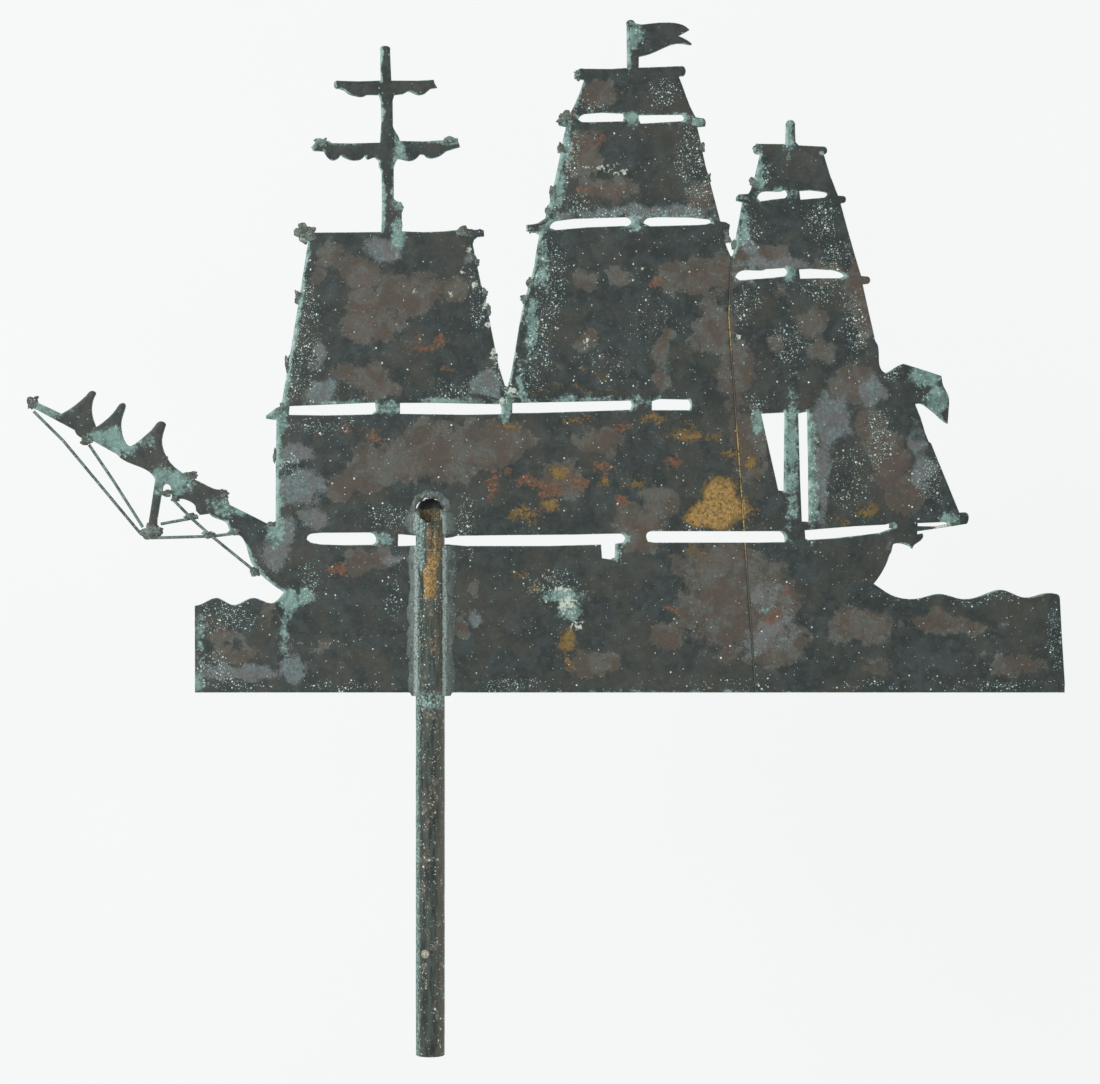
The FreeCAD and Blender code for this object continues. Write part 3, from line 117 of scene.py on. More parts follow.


# ------------------------------------------------------------------------------------------------
# Weathering, as patches (x, z, half width, half height) placed on the ship's front face.
# The materials break their edges up with noise.

PATCHES = {
    # Dull brown oxide scale, the commonest skin after the black.
    "scale": [
        (-76, 606, 13, 16), (-15, 583, 24, 18), (-50, 563, 28, 20), (-52, 598, 18, 12), (20, 586, 9, 9),
        (-52, 522, 20, 9), (-36, 508, 15, 9), (-20, 456, 40, 17), (14, 464, 42, 21), (-46, 446, 18, 14),
        (52, 470, 22, 16), (-70, 434, 11, 10), (-56, 377, 12, 12), (-36, 382, 9, 10), (-85, 312, 7, 6),
        (-156, 320, 11, 7), (-150, 306, 16, 7), (-123, 340, 5, 8), (24, 324, 5, 12), (36, 359, 4, 4),
        (235, 345, 46, 34), (222, 372, 34, 20), (262, 318, 28, 18), (160, 404, 20, 16), (176, 424, 16, 12),
        (120, 592, 10, 10), (146, 596, 11, 9), (196, 596, 26, 14), (222, 600, 18, 14), (120, 548, 10, 10),
        (182, 553, 7, 7), (176, 541, 7, 8), (176, 518, 7, 7), (130, 734, 14, 12), (118, 690, 14, 16),
        (140, 664, 22, 8), (208, 655, 10, 14), (252, 612, 24, 10), (300, 600, 16, 10), (330, 585, 12, 40),
        (292, 560, 12, 10), (352, 458, 12, 20), (322, 515, 16, 14), (366, 430, 14, 16), (340, 480, 14, 16),
        (215, 560, 20, 22), (232, 525, 14, 26), (245, 470, 14, 26), (100, 440, 16, 14), (128, 470, 18, 10),
        (330, 330, 26, 14), (400, 330, 34, 9), (440, 300, 34, 8), (182, 320, 14, 10), (126, 300, 20, 8),
        (268, 585, 10, 8), (300, 540, 9, 9), (265, 545, 9, 8), (345, 300, 16, 8),
    ],
    # Blue-grey and lilac film, with lobed edges.
    "film": [
        (-35, 617, 18, 9), (-86, 535, 7, 9), (-82, 508, 14, 10), (44, 516, 11, 10), (-102, 460, 16, 8),
        (-101, 435, 18, 14), (-106, 296, 12, 10), (-150, 292, 34, 6), (-112, 400, 10, 14), (-120, 384, 12, 12),
        (-30, 380, 6, 6), (-90, 410, 12, 8), (306, 486, 16, 20), (300, 440, 7, 34), (268, 328, 17, 20, 0.66),
        (255, 352, 14, 12, 0.66), (250, 314, 18, 14, 0.7), (33, 334, 4, 9), (150, 645, 46, 5), (196, 646, 20, 5),
        (105, 640, 10, 6), (265, 606, 30, 6), (240, 596, 10, 6), (338, 508, 10, 12), (374, 470, 6, 14),
        (378, 445, 8, 14), (246, 618, 8, 8), (30, 610, 8, 4),
    ],
    # Thick pale blue-green verdigris.
    "verdigris": [
        (-100, 622, 6, 18), (-106, 590, 5, 22), (-110, 556, 6, 22), (-113, 520, 6, 22), (-117, 485, 8, 12),
        (-118, 460, 4, 14), (-119, 430, 5, 16), (-119, 404, 6, 14), (-109, 348, 7, 9), (-112, 322, 4, 22, 0.66),
        (-32, 496, 11, 5), (-96, 352, 6, 6), (60, 500, 5, 9), (70, 510, 4, 22, 0.74), (78, 560, 5, 30, 0.74),
        (86, 610, 5, 26, 0.74), (104, 700, 5, 16), (98, 664, 5, 22, 0.74), (110, 738, 5, 10), (57, 494, 4, 9),
        (-36, 396, 6, 4), (-24, 628, 5, 14), (-24, 674, 5, 26), (-60, 498, 26, 3), (20, 500, 26, 3),
        (120, 502, 30, 2), (100, 497, 40, 2), (240, 634, 4, 16), (252, 672, 4, 14), (244, 598, 8, 4),
        (276, 598, 4, 5), (277, 460, 5, 46, 0.85), (292, 440, 4, 40), (250, 486, 5, 8), (380, 520, 14, 7),
        (388, 500, 9, 12), (398, 410, 6, 4), (100, 352, 16, 5), (108, 340, 10, 7), (256, 342, 4, 3),
        (-176, 320, 4, 26, 0.55), (-178, 286, 4, 8), (180, 276, 80, 2), (-200, 440, 20, 12, 0.8), (-150, 420, 20, 8, 0.8),
        (-240, 470, 26, 10, 0.86), (-290, 496, 12, 8), (96, 636, 8, 6), (155, 637, 6, 5), (178, 640, 30, 3),
        (270, 660, 12, 3), (155, 716, 5, 5), (180, 718, 18, 3), (128, 718, 16, 3), (205, 714, 6, 4),
        (168, 500, 6, 3), (157, 780, 5, 10), (275, 706, 4, 10), (20, 702, 20, 4), (-70, 702, 20, 4),
    ],
    # Whitish deposit.
    "cream": [
        (92, 368, 18, 3.2, 0.5), (100, 357, 14, 4, 0.52), (106, 344, 12, 8, 0.52), (112, 330, 8, 6, 0.52), (132, 680, 14, 3, 0.52),
        (150, 676, 12, 3, 0.52), (138, 663, 12, 2.6, 0.52), (34, 590, 1.5, 1.5), (42, 575, 1.6, 2.4), (44, 560, 1.6, 1.8),
        (50, 536, 2.6, 4), (57, 510, 2, 2), (162, 603, 1.6, 1.6), (-14, 586, 1.2, 1.2), (16, 584, 1.6, 2.4),
        (-76, 316, 30, 1.2, 0.52), (-4, 496, 6, 2), (55, 502, 3, 3), (62, 508, 3, 3), (236, 550, 2, 2),
        (24, 600, 2, 2), (30, 616, 2, 2), (120, 546, 1.6, 4), (392, 404, 6, 2), (186, 402, 30, 1.4, 0.52),
    ],
    # Bright metal and yellow-gold tarnish showing through.
    "gold": [
        (223, 417, 24, 13), (222, 431, 14, 11), (206, 410, 11, 7), (76, 357, 12, 6, 0.66), (72, 370, 9, 4, 0.66),
        (107, 318, 8, 12, 0.66), (142, 358, 6, 4, 0.66), (155, 360, 4, 3, 0.66), (104, 300, 5, 6, 0.66), (82, 402, 12, 2.6, 0.66),
        (60, 482, 14, 5, 0.66), (70, 414, 14, 7, 0.66), (92, 420, 10, 7, 0.66), (100, 446, 10, 8, 0.66), (84, 506, 12, 2.5, 0.66),
        (108, 512, 16, 2, 0.66), (140, 509, 16, 2, 0.66), (96, 528, 10, 1.6, 0.66), (124, 522, 14, 1.4, 0.66), (112, 486, 14, 4, 0.66),
        (168, 486, 16, 5, 0.66), (200, 474, 22, 5, 0.66), (196, 484, 16, 3, 0.66), (228, 462, 14, 5, 0.66), (248, 452, 8, 6, 0.66),
        (334, 417, 12, 7, 0.66), (318, 408, 6, 4, 0.66), (-58, 431, 1.6, 2.6, 0.66), (-46, 452, 3, 2, 0.66), (205, 384, 12, 4, 0.66),
        (206, 392, 10, 4, 0.66), (206, 376, 8, 3, 0.66), (134, 438, 8, 6, 0.66), (160, 440, 10, 5, 0.66), (-20, 449, 3, 3, 0.66),
    ],
    # Orange-red oxide.
    "rust": [
        (-2, 541, 15, 2.6, 0.74), (9, 547, 4, 6, 0.74), (12, 524, 8, 3, 0.74), (-8, 552, 4, 3, 0.74), (48, 436, 6, 10, 0.74),
        (60, 446, 6, 5, 0.74), (-70, 372, 6, 7, 0.74), (76, 438, 10, 6, 0.74), (92, 432, 9, 8, 0.74), (112, 440, 8, 7, 0.74),
        (263, 338, 6, 5), (187, 340, 4, 4, 0.74), (107, 717, 4, 4), (172, 592, 5, 4, 0.74), (-86, 476, 4, 3, 0.74),
        (-60, 480, 14, 2, 0.74), (-40, 474, 8, 3, 0.74), (150, 480, 10, 4, 0.74), (134, 452, 10, 5, 0.74), (270, 352, 3, 3, 0.74),
        (118, 662, 8, 2, 0.74), (130, 700, 6, 6, 0.74), (145, 424, 6, 7, 0.74), (182, 452, 8, 4, 0.74),
    ],
    # Bare black, where nothing has taken.
    "black": [
        (-60, 634, 34, 5), (-72, 584, 8, 30), (16, 560, 22, 13), (40, 566, 8, 26), (-96, 572, 6, 26),
        (-98, 545, 7, 16), (20, 508, 26, 6), (-10, 624, 26, 7), (30, 636, 16, 8), (-88, 478, 22, 7),
        (-105, 450, 7, 4), (-105, 472, 7, 4), (-72, 456, 12, 7), (90, 460, 6, 5.5), (-30, 420, 34, 10),
        (-66, 340, 26, 16), (0, 300, 60, 20), (-60, 300, 40, 14), (222, 423, 5, 4.6), (132, 620, 26, 9),
        (150, 560, 20, 22), (100, 570, 16, 26), (196, 570, 12, 10), (205, 628, 12, 6), (160, 700, 20, 10),
        (195, 690, 10, 20), (150, 722, 20, 3), (280, 640, 20, 16), (285, 680, 14, 8), (285, 585, 22, 8),
        (320, 560, 8, 20), (260, 568, 14, 14), (355, 490, 10, 10), (390, 300, 80, 8), (440, 336, 34, 7),
        (60, 330, 24, 30), (160, 350, 20, 16), (300, 350, 14, 12), (330, 360, 14, 16), (-84, 360, 12, 20),
        (125, 460, 10, 6), (196, 450, 14, 8), (150, 500, 8, 10), (166, 640, 3, 30), (20, 482, 3, 6),
    ],
    # Where fine pale crystals have grown thickest.
    "speckle": [
        (-102, 545, 10, 40), (-95, 580, 10, 24), (-104, 515, 8, 20), (20, 510, 26, 6), (40, 620, 10, 14),
        (36, 580, 8, 30), (-84, 482, 22, 7), (-108, 452, 12, 10), (-156, 334, 24, 14), (-165, 296, 14, 14),
        (-150, 282, 30, 4), (-94, 362, 12, 18), (-27, 346, 4, 30), (-60, 282, 30, 4), (-26, 412, 26, 12),
        (92, 590, 12, 44), (84, 540, 10, 24), (78, 516, 10, 12), (110, 650, 12, 10), (108, 690, 10, 20),
        (200, 690, 12, 30), (205, 655, 12, 14), (180, 738, 18, 12), (150, 644, 50, 4), (120, 726, 14, 8),
        (246, 632, 10, 16), (256, 676, 8, 12), (242, 578, 10, 18), (300, 640, 14, 18), (310, 612, 14, 14),
        (326, 560, 10, 30), (262, 480, 8, 10), (292, 450, 6, 30), (344, 470, 10, 26), (384, 440, 10, 24),
        (400, 352, 60, 6), (430, 284, 50, 5), (340, 284, 30, 4), (220, 284, 40, 4), (60, 286, 30, 6),
        (96, 358, 24, 14), (30, 404, 8, 30), (200, 402, 30, 4), (170, 560, 26, 26, 0.6), (140, 530, 24, 16, 0.6),
        (276, 545, 16, 18), (300, 585, 16, 12), (355, 524, 8, 8), (55, 520, 8, 20), (-20, 640, 8, 8),
        (480, 320, 6, 30), (250, 500, 10, 10), (320, 440, 20, 30, 0.7), (70, 610, 0.1, 0.1), (-92, 545, 9, 34),
    ],
}


# ------------------------------------------------------------------------------------------------
# Meshes.

def make_object(name, points, faces, smooth=True):
    """An object from points in mm, at the origin and unturned."""
    mesh = bpy.data.meshes.new(name)
    mesh.from_pydata([tuple(v * MM for v in spot) for spot in points], [], faces)
    mesh.validate()
    mesh.update()
    mesh.shade_smooth() if smooth else mesh.shade_flat()
    thing = bpy.data.objects.new(name, mesh)
    bpy.context.scene.collection.objects.link(thing)
    return thing


def set_field(thing, name, values):
    layer = thing.data.attributes.new(name, "FLOAT", "POINT")
    layer.data.foreach_set("value", np.asarray(values, dtype=np.float32))


def patch_field(kind, x, z):
    """How far inside the nearest patch of that kind each spot is: 1 at its heart, 0.5 at its edge.
    A patch's fifth number, where it has one, is how solid it is; a thin one shows only in flecks."""
    strength = np.zeros(len(x))
    for centre_x, centre_z, half_x, half_z, *solid in PATCHES[kind]:
        away = np.hypot((x - centre_x) / half_x, (z - centre_z) / half_z)
        soft = max(0.45, 4.0 / min(half_x, half_z))
        here = np.clip(0.5 + (1 - away) / soft * 0.5, 0, 1) * (solid[0] if solid else 1.0)
        strength = np.maximum(strength, here)
    return strength


def wandered(x, z, seed):
    """The same spots pushed about, so that an oval patch gets a ragged, natural outline."""
    moved = []
    for a, b in zip(x, z):
        wide = noise.noise_vector((a / 17, b / 17, seed)) * 7.0
        tight = noise.noise_vector((a / 5.5, b / 5.5, seed + 4)) * 2.8
        moved.append((a + wide.x + tight.x, b + (wide.y + tight.y) * 0.8))
    return np.array(moved).T


def front_outline(node):
    """The closed loops of (x, z) corners round a flat CAD node's front face, in mm."""
    source = bmesh.new()
    source.from_mesh(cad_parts[node].data)
    bmesh.ops.remove_doubles(source, verts=source.verts, dist=1e-6)
    front = {face.index for face in source.faces if face.normal.y < -0.99}
    links = {}
    for edge in source.edges:
        if sum(face.index in front for face in edge.link_faces) == 1:
            first, last = (vert.index for vert in edge.verts)
            links.setdefault(first, []).append(last)
            links.setdefault(last, []).append(first)
    spots = {vert.index: (vert.co.x / MM, vert.co.z / MM) for vert in source.verts}
    source.free()
    loops = []
    while links:
        start = min(links)
        loop = [start]
        here = start
        while links.get(here):
            there = links[here].pop()
            links[there].remove(here)
            here = there
            loop.append(here)
        for index in set(loop):
            if not links.get(index):
                links.pop(index, None)
        loops.append([spots[index] for index in loop[:-1]])
    return [loop for loop in loops if len(loop) > 2]


def split_edges(loop, longest):
    """The same loop with extra points along its long edges."""
    result = []
    for (x0, z0), (x1, z1) in zip(loop, loop[1:] + loop[:1]):
        count = max(1, math.ceil(math.hypot(x1 - x0, z1 - z0) / longest))
        result += [(x0 + (x1 - x0) * i / count, z0 + (z1 - z0) * i / count) for i in range(count)]
    return result


def inside(loops, x, z):
    """Whether each spot lies within the loops, holes left out."""
    hits = np.zeros(len(x), dtype=bool)
    for loop in loops:
        for (x0, z0), (x1, z1) in zip(loop, loop[1:] + loop[:1]):
            if z0 == z1:
                continue
            spans = (z0 > z) != (z1 > z)
            hits ^= spans & (x < (x1 - x0) * (z - z0) / (z1 - z0) + x0)
    return hits


GRID = 2.7
EDGE_STEP = 1.8
BURR = 0.45
HALF_GAUGE = 1.0


def make_plate(node, name, seed):
    """The cut sheet as a dense mesh: worn edges, faint dents, and its bent corners bent."""
    dice = random.Random(seed)
    loops = [split_edges(loop, EDGE_STEP) for loop in front_outline(node)]
    rim = []
    outward = []
    edges = []
    for loop in loops:
        start = len(rim)
        count = len(loop)
        for index, (x, z) in enumerate(loop):
            before, after = loop[index - 1], loop[(index + 1) % count]
            run = Vector((after[0] - before[0], after[1] - before[1])).normalized()
            rim.append((x, z))
            outward.append(Vector((run.y, -run.x)))
            edges.append((start + index, start + (index + 1) % count))
    rim_x, rim_z = np.array(rim).T
    for sign in (1, -1):
        push = np.array([tuple(way) for way in outward]) * sign * 0.4
        out = ~inside(loops, rim_x + push[:, 0], rim_z + push[:, 1])
        if sign == 1:
            outward = [way if clear else -way for way, clear in zip(outward, out)]
    tree = kdtree.KDTree(len(rim))
    for index, (x, z) in enumerate(rim):
        tree.insert((x, z, 0), index)
    tree.balance()

    spots = [(x - way.x * BURR, z - way.y * BURR) for (x, z), way in zip(rim, outward)]
    left, right, foot, head = rim_x.min(), rim_x.max(), rim_z.min(), rim_z.max()
    row = GRID * math.sqrt(3) / 2
    for j in range(int((head - foot) / row) + 1):
        for i in range(int((right - left) / GRID) + 1):
            spots.append((left + (i + j % 2 / 2) * GRID + dice.uniform(-0.4, 0.4),
                          foot + j * row + dice.uniform(-0.4, 0.4)))
    x, z = np.array(spots).T
    kept = [spot for spot, ok in zip(spots, inside(loops, x, z)) if ok]
    kept = [spot for index, spot in enumerate(kept)
            if tree.find((*spot, 0))[2] > (BURR * 0.75 if index < len(rim) else 1.2)]
    flat = [Vector(spot) for spot in rim + kept]
    corners, _, faces, origins, _, _ = geometry.delaunay_2d_cdt(flat, edges, [], 0, 1e-6)
    x = np.array([corner.x for corner in corners])
    z = np.array([corner.y for corner in corners])
    faces = [face for face in faces if len(face) == 3]
    middle = np.array([[x[list(face)].mean(), z[list(face)].mean()] for face in faces])
    keep = inside(loops, middle[:, 0], middle[:, 1])
    faces = [face for face, ok in zip(faces, keep) if ok]

    near = [tree.find((a, b, 0)) for a, b in zip(x, z)]
    depth = np.array([hit[2] for hit in near])
    way_x = np.array([outward[hit[1]].x for hit in near])
    way_z = np.array([outward[hit[1]].y for hit in near])
    on_rim = depth < 1e-4
    dent = np.array([noise.fractal((a / 34, b / 34, seed), 1.0, 2.0, 3) for a, b in zip(x, z)]) * 0.16
    grain = np.array([noise.fractal((a / 5, b / 5, seed + 9), 0.8, 2.0, 2) for a, b in zip(x, z)]) * 0.07
    thin = HALF_GAUGE - np.where(on_rim, BURR * 0.8 + grain * 2, 0)
    count = len(x)
    front_y = -thin + np.where(on_rim, 0, dent * 0.5 + grain)
    back_y = thin + np.where(on_rim, 0, dent * 0.5 - grain)
    shift = np.array([bend(a, b) for a, b in zip(x, z)])
    points = [(a, y + s, b) for a, y, b, s in zip(x, front_y, z, shift)]
    points += [(a, y + s, b) for a, y, b, s in zip(x, back_y, z, shift)]
    turned = []
    sides = {}
    for face in faces:
        a, b, c = face
        area = (x[b] - x[a]) * (z[c] - z[a]) - (x[c] - x[a]) * (z[b] - z[a])
        face = (a, b, c) if area > 0 else (a, c, b)
        turned.append(face)
        turned.append(tuple(corner + count for corner in face[::-1]))
        for first, last in zip(face, face[1:] + face[:1]):
            sides[(first, last)] = sides.get((first, last), 0) + 1
    for first, last in sides:
        if (last, first) not in sides:
            turned.append((last, first, first + count, last + count))
    plate = make_object(name, points, turned)
    both = np.concatenate
    moved_x, moved_z = wandered(x, z, 5)
    small_x, small_z = x * 0.75 + moved_x * 0.25, z * 0.75 + moved_z * 0.25
    for kind in PATCHES:
        near_x, near_z = (small_x, small_z) if kind in ("cream", "verdigris") else (moved_x, moved_z)
        field = patch_field(kind, near_x, near_z)
        if kind in ("verdigris", "speckle", "black"):
            behind = patch_field(kind, 2 * x - near_x, 2 * z - near_z)
        else:
            behind = patch_field(kind, 160 - near_x, near_z - 26) * 0.9
        set_field(plate, kind, both([field, behind]))
    open_edge = kdtree.KDTree(len(rim))
    for index, (a, b) in enumerate(rim):
        on_seam = abs(a - (228.6 + max(0, 566 - b) * 0.0715)) < 2.6 and b < 613
        in_tube_slot = abs(a) < 14 and b < 432
        if not on_seam and not in_tube_slot:
            open_edge.insert((a, b, 0), index)
    open_edge.balance()
    depth = np.array([open_edge.find((a, b, 0))[2] for a, b in zip(x, z)])
    set_field(plate, "edge", both([depth, depth]))
    set_field(plate, "edge_left", both([-way_x, -way_x]))
    set_field(plate, "edge_down", both([-way_z, -way_z]))
    return plate


def bend(x, z):
    """How far back the thin corners have been knocked, in mm; the boom's tab is knocked forward."""
    tip = ((x - 384) * 0.72 - (z - 500) * 0.69) / 10
    back = 0.0
    if x > 370 and z > 470 and tip > 0:
        back = 6.4 * min(tip, 1.3) ** 1.5
    if 352 < x < 380 and 384 < z < 398.6:
        back = -4.0 * min((398.6 - z) / 10, 1.2) ** 1.5
    return back


def swept(name, rings, closed=False, caps=True):
    """A skin over rings of points, each ring running round the piece the same way."""
    count = len(rings[0])
    points = [spot for ring in rings for spot in ring]
    faces = []
    for level in range(len(rings) - 1 + closed):
        above = (level + 1) % len(rings)
        for i in range(count):
            j = (i + 1) % count
            faces.append((level * count + i, level * count + j, above * count + j, above * count + i))
    if caps and not closed:
        faces.append(tuple(range(count))[::-1])
        faces.append(tuple((len(rings) - 1) * count + i for i in range(count)))
    thing = make_object(name, points, faces)
    outwards(thing)
    return thing


def outwards(thing):
    work = bmesh.new()
    work.from_mesh(thing.data)
    bmesh.ops.recalc_face_normals(work, faces=work.faces)
    work.to_mesh(thing.data)
    work.free()


def rough(x, y, z, size, seed, detail=3):
    return noise.fractal((x / size, y / size + seed * 7.3, z / size), 0.9, 2.0, detail)


TUBE_OD = 22.2
TUBE_WALL = 1.6
MOUTH = 417.0
MOUTH_RISE = 19.2
SHEET_FOOT = 277.7


def make_tube():
    """The tube with its slanted, raggedly cut mouth, faint dents and a burr round the edge."""
    around = 96
    outer = TUBE_OD / 2
    inner = outer - TUBE_WALL

    def mouth_height(angle, radius):
        y = math.sin(angle) * radius
        ragged = rough(math.cos(angle) * 9, y, 0, 3.4, 2) * 1.1
        return MOUTH + MOUTH_RISE * y / TUBE_OD + ragged

    def ring(radius, part, lift=0.0):
        spots = []
        for i in range(around):
            angle = 2 * math.pi * i / around
            top = mouth_height(angle, radius)
            z = part * top + lift
            dent = rough(math.cos(angle) * radius, math.sin(angle) * radius, z, 17, 3) * 0.14
            dent += rough(math.cos(angle) * radius, math.sin(angle) * radius, z, 3, 5) * 0.035
            r = min(radius + dent, outer)
            spots.append((math.cos(angle) * r, math.sin(angle) * r, z))
        return spots

    levels = 190
    rings = [ring(outer - 0.5, 0.0), ring(outer - 0.12, 0.0, 0.35)]
    rings += [ring(outer - 0.06, i / levels) for i in range(1, levels)]
    rings += [ring(outer - 0.06, 1.0, -0.5), ring(outer - 0.35, 1.0), ring(inner + 0.35, 1.0),
              ring(inner, 1.0, -0.5)]
    rings += [ring(inner, i / 60) for i in range(59, 0, -1)]
    rings += [ring(inner, 0.0, 0.4), ring(inner + 0.4, 0.0)]
    return swept("tube_skin", rings, closed=True)


def make_bead(side, face, toe):
    """One run of solder in the corner of tube and sheet, lumpy and ragged along its toe."""
    outer = TUBE_OD / 2
    pieces = []
    for foot, head in ((SHEET_FOOT - 2.6, 390.2), (398.8, 416.6)):
        rings = []
        count = max(8, int((head - foot) / 1.1))
        for level in range(count + 1):
            part = level / count
            z = foot + (head - foot) * part
            seed = side * 3 + face
            wander = rough(seed * 4, 0, z, 16, 1) * 2.4 + rough(seed * 4, 9, z, 4.5, 2) * 1.3
            swell = 1 + rough(seed * 4, 5, z, 6, 4) * 0.35
            taper = min(1.0, math.sin(math.pi * min(part, 1 - part) * min(count / 8, 7) + 0.22) if
                        min(part, 1 - part) * min(count / 8, 7) < 0.5 else 1.0)
            width = (toe + wander) * (0.55 + 0.45 * taper)
            if z < SHEET_FOOT:
                width *= 0.62
            lip_turn = math.radians(24 + 7 * swell)
            lip = (outer * math.cos(lip_turn), outer * math.sin(lip_turn))
            ring = [(outer - 2.2, 1.2), (lip[0] - 1.6, lip[1] - 1.2)]
            for step in range(9):
                t = step / 8
                x = lip[0] + (outer + width - lip[0]) * t
                y = HALF_GAUGE * 0.9 + (lip[1] - HALF_GAUGE) * (1 - t) ** 1.9
                y += (math.sin(math.pi * t) * 0.5 * swell + rough(x, face * 5, z, 3.4, 7) * 0.16) * taper
                ring.append((x, max(y, HALF_GAUGE * 0.8)))
            ring.append((outer + width, HALF_GAUGE * 0.4))
            rings.append([(side * x, face * y, z) for x, y in ring])
        pieces.append(swept(f"bead_{side}_{face}_{int(foot)}", rings))
    return pieces


def make_arch_bead():
    """The solder laid round the arched head of the slot, in front."""
    middle = TUBE_OD / 2 + 1.6
    rings = []
    steps = 84
    for step in range(steps + 1):
        angle = math.pi * (step / steps * 1.16 - 0.08)
        half = 3.1 + rough(angle * 6, 0, 0, 2.2, 1) * 1.3
        tall = 1.5 + rough(angle * 6, 4, 0, 1.7, 2) * 0.8
        end = min(1.0, 4.0 * min(step, steps - step) / steps + 0.25)
        away = middle + rough(angle * 6, 8, 0, 3, 3) * 0.8
        ring = []
        for turn in range(14):
            around = 2 * math.pi * turn / 14
            r = away + math.cos(around) * half * end
            y = -HALF_GAUGE + 0.35 - max(-0.3, math.sin(around)) * tall * end
            ring.append((math.cos(angle) * r, y, MOUTH + math.sin(angle) * r))
        rings.append(ring)
    return swept("arch_bead", rings)


def islands(node):
    """The lowest and highest corner, in mm, of each separate lump in a CAD node."""
    work = bmesh.new()
    work.from_mesh(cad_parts[node].data)
    bmesh.ops.remove_doubles(work, verts=work.verts, dist=1e-6)
    left = set(work.verts)
    boxes = []
    while left:
        seen = []
        queue = [left.pop()]
        while queue:
            vert = queue.pop()
            seen.append(vert.co / MM)
            for edge in vert.link_edges:
                other = edge.other_vert(vert)
                if other in left:
                    left.discard(other)
                    queue.append(other)
        spots = np.array([tuple(co) for co in seen])
        boxes.append((spots.min(axis=0), spots.max(axis=0)))
    work.free()
    return sorted(boxes, key=lambda pair: (round(pair[0][0], 2), round(pair[0][2], 2)))


def make_lumps(node, name, seed, knobs=7):
    """Knobbly drops of solder where the CAD node has its plain ones."""
    dice = random.Random(seed)
    work = bmesh.new()
    for lowest, highest in islands(node):
        centre = (lowest + highest) / 2
        half = (highest - lowest) / 2
        depth = max(abs(lowest[1]), abs(highest[1]))
        faces_one_side = lowest[1] > 0 or highest[1] < 0
        middle_y = centre[1] if faces_one_side else 0.0
        tall = half[1] * 1.05 if faces_one_side else depth
        start = len(work.verts)
        bmesh.ops.create_icosphere(work, subdivisions=4, radius=1.0)
        work.verts.ensure_lookup_table()
        bumps = [(Vector((dice.uniform(-1, 1), dice.uniform(-0.6, 0.6), dice.uniform(-1, 1))).normalized(),
                  dice.uniform(0.15, 0.6), dice.uniform(0.2, 0.5)) for _ in range(knobs)]
        for vert in work.verts[start:]:
            way = vert.co.normalized()
            reach = 0.7 + rough(way.x * 5, way.y * 5, way.z * 5 + centre[0], 3.4, seed, 4) * 0.5
            for toward, size, width in bumps:
                reach += size * math.exp(-((way - toward).length / width) ** 2)
            reach = min(max(reach, 0.45), 1.3)
            vert.co = Vector((centre[0] + way.x * half[0] * reach,
                              middle_y + way.y * min(tall * reach, tall * 1.02),
                              centre[2] + way.z * half[2] * reach)) * MM
    mesh = bpy.data.meshes.new(name)
    work.to_mesh(mesh)
    work.free()
    mesh.shade_smooth()
    thing = bpy.data.objects.new(name, mesh)
    bpy.context.scene.collection.objects.link(thing)
    return thing


# ------------------------------------------------------------------------------------------------
# Finishes.

def mottle(g, size, dark, light, shift, rough=0.62, low_edge=0.3, high_edge=0.7):
    """Two colours clouded together."""
    return g.mix(g.step(g.noise(size, 5, rough, 0.4, shift), low_edge, high_edge),
                 colour(dark), colour(light))


def dots(g, size, radius, density, spot=None):
    """Ragged specks on a scatter `size` mm apart. density is the share of the scatter that has one."""
    wobble = g.add("ShaderNodeTexNoise", {"Vector": spot or g.spot, "Scale": 1400.0, "Detail": 2.0})
    pushed = g.add("ShaderNodeVectorMath", {
        0: wobble.outputs["Color"], 1: (0.0013, 0.0013, 0.0013), 2: spot or g.spot},
        operation="MULTIPLY_ADD").outputs[0]
    scatter = g.add("ShaderNodeTexVoronoi", {"Vector": pushed, "Scale": 1000 / size})
    chance = g.add("ShaderNodeSeparateColor", {"Color": scatter.outputs["Color"]})
    there = g.math("LESS_THAN", chance.outputs[0], density)
    skewed = g.math("POWER", chance.outputs[1], 2.6)
    grown = g.math("MULTIPLY_ADD", skewed, radius)
    grown.node.inputs[2].default_value = radius * 0.34
    share = g.math("DIVIDE", scatter.outputs["Distance"], grown)
    return g.math("MULTIPLY", there, g.step(share, 1.0, 0.6))


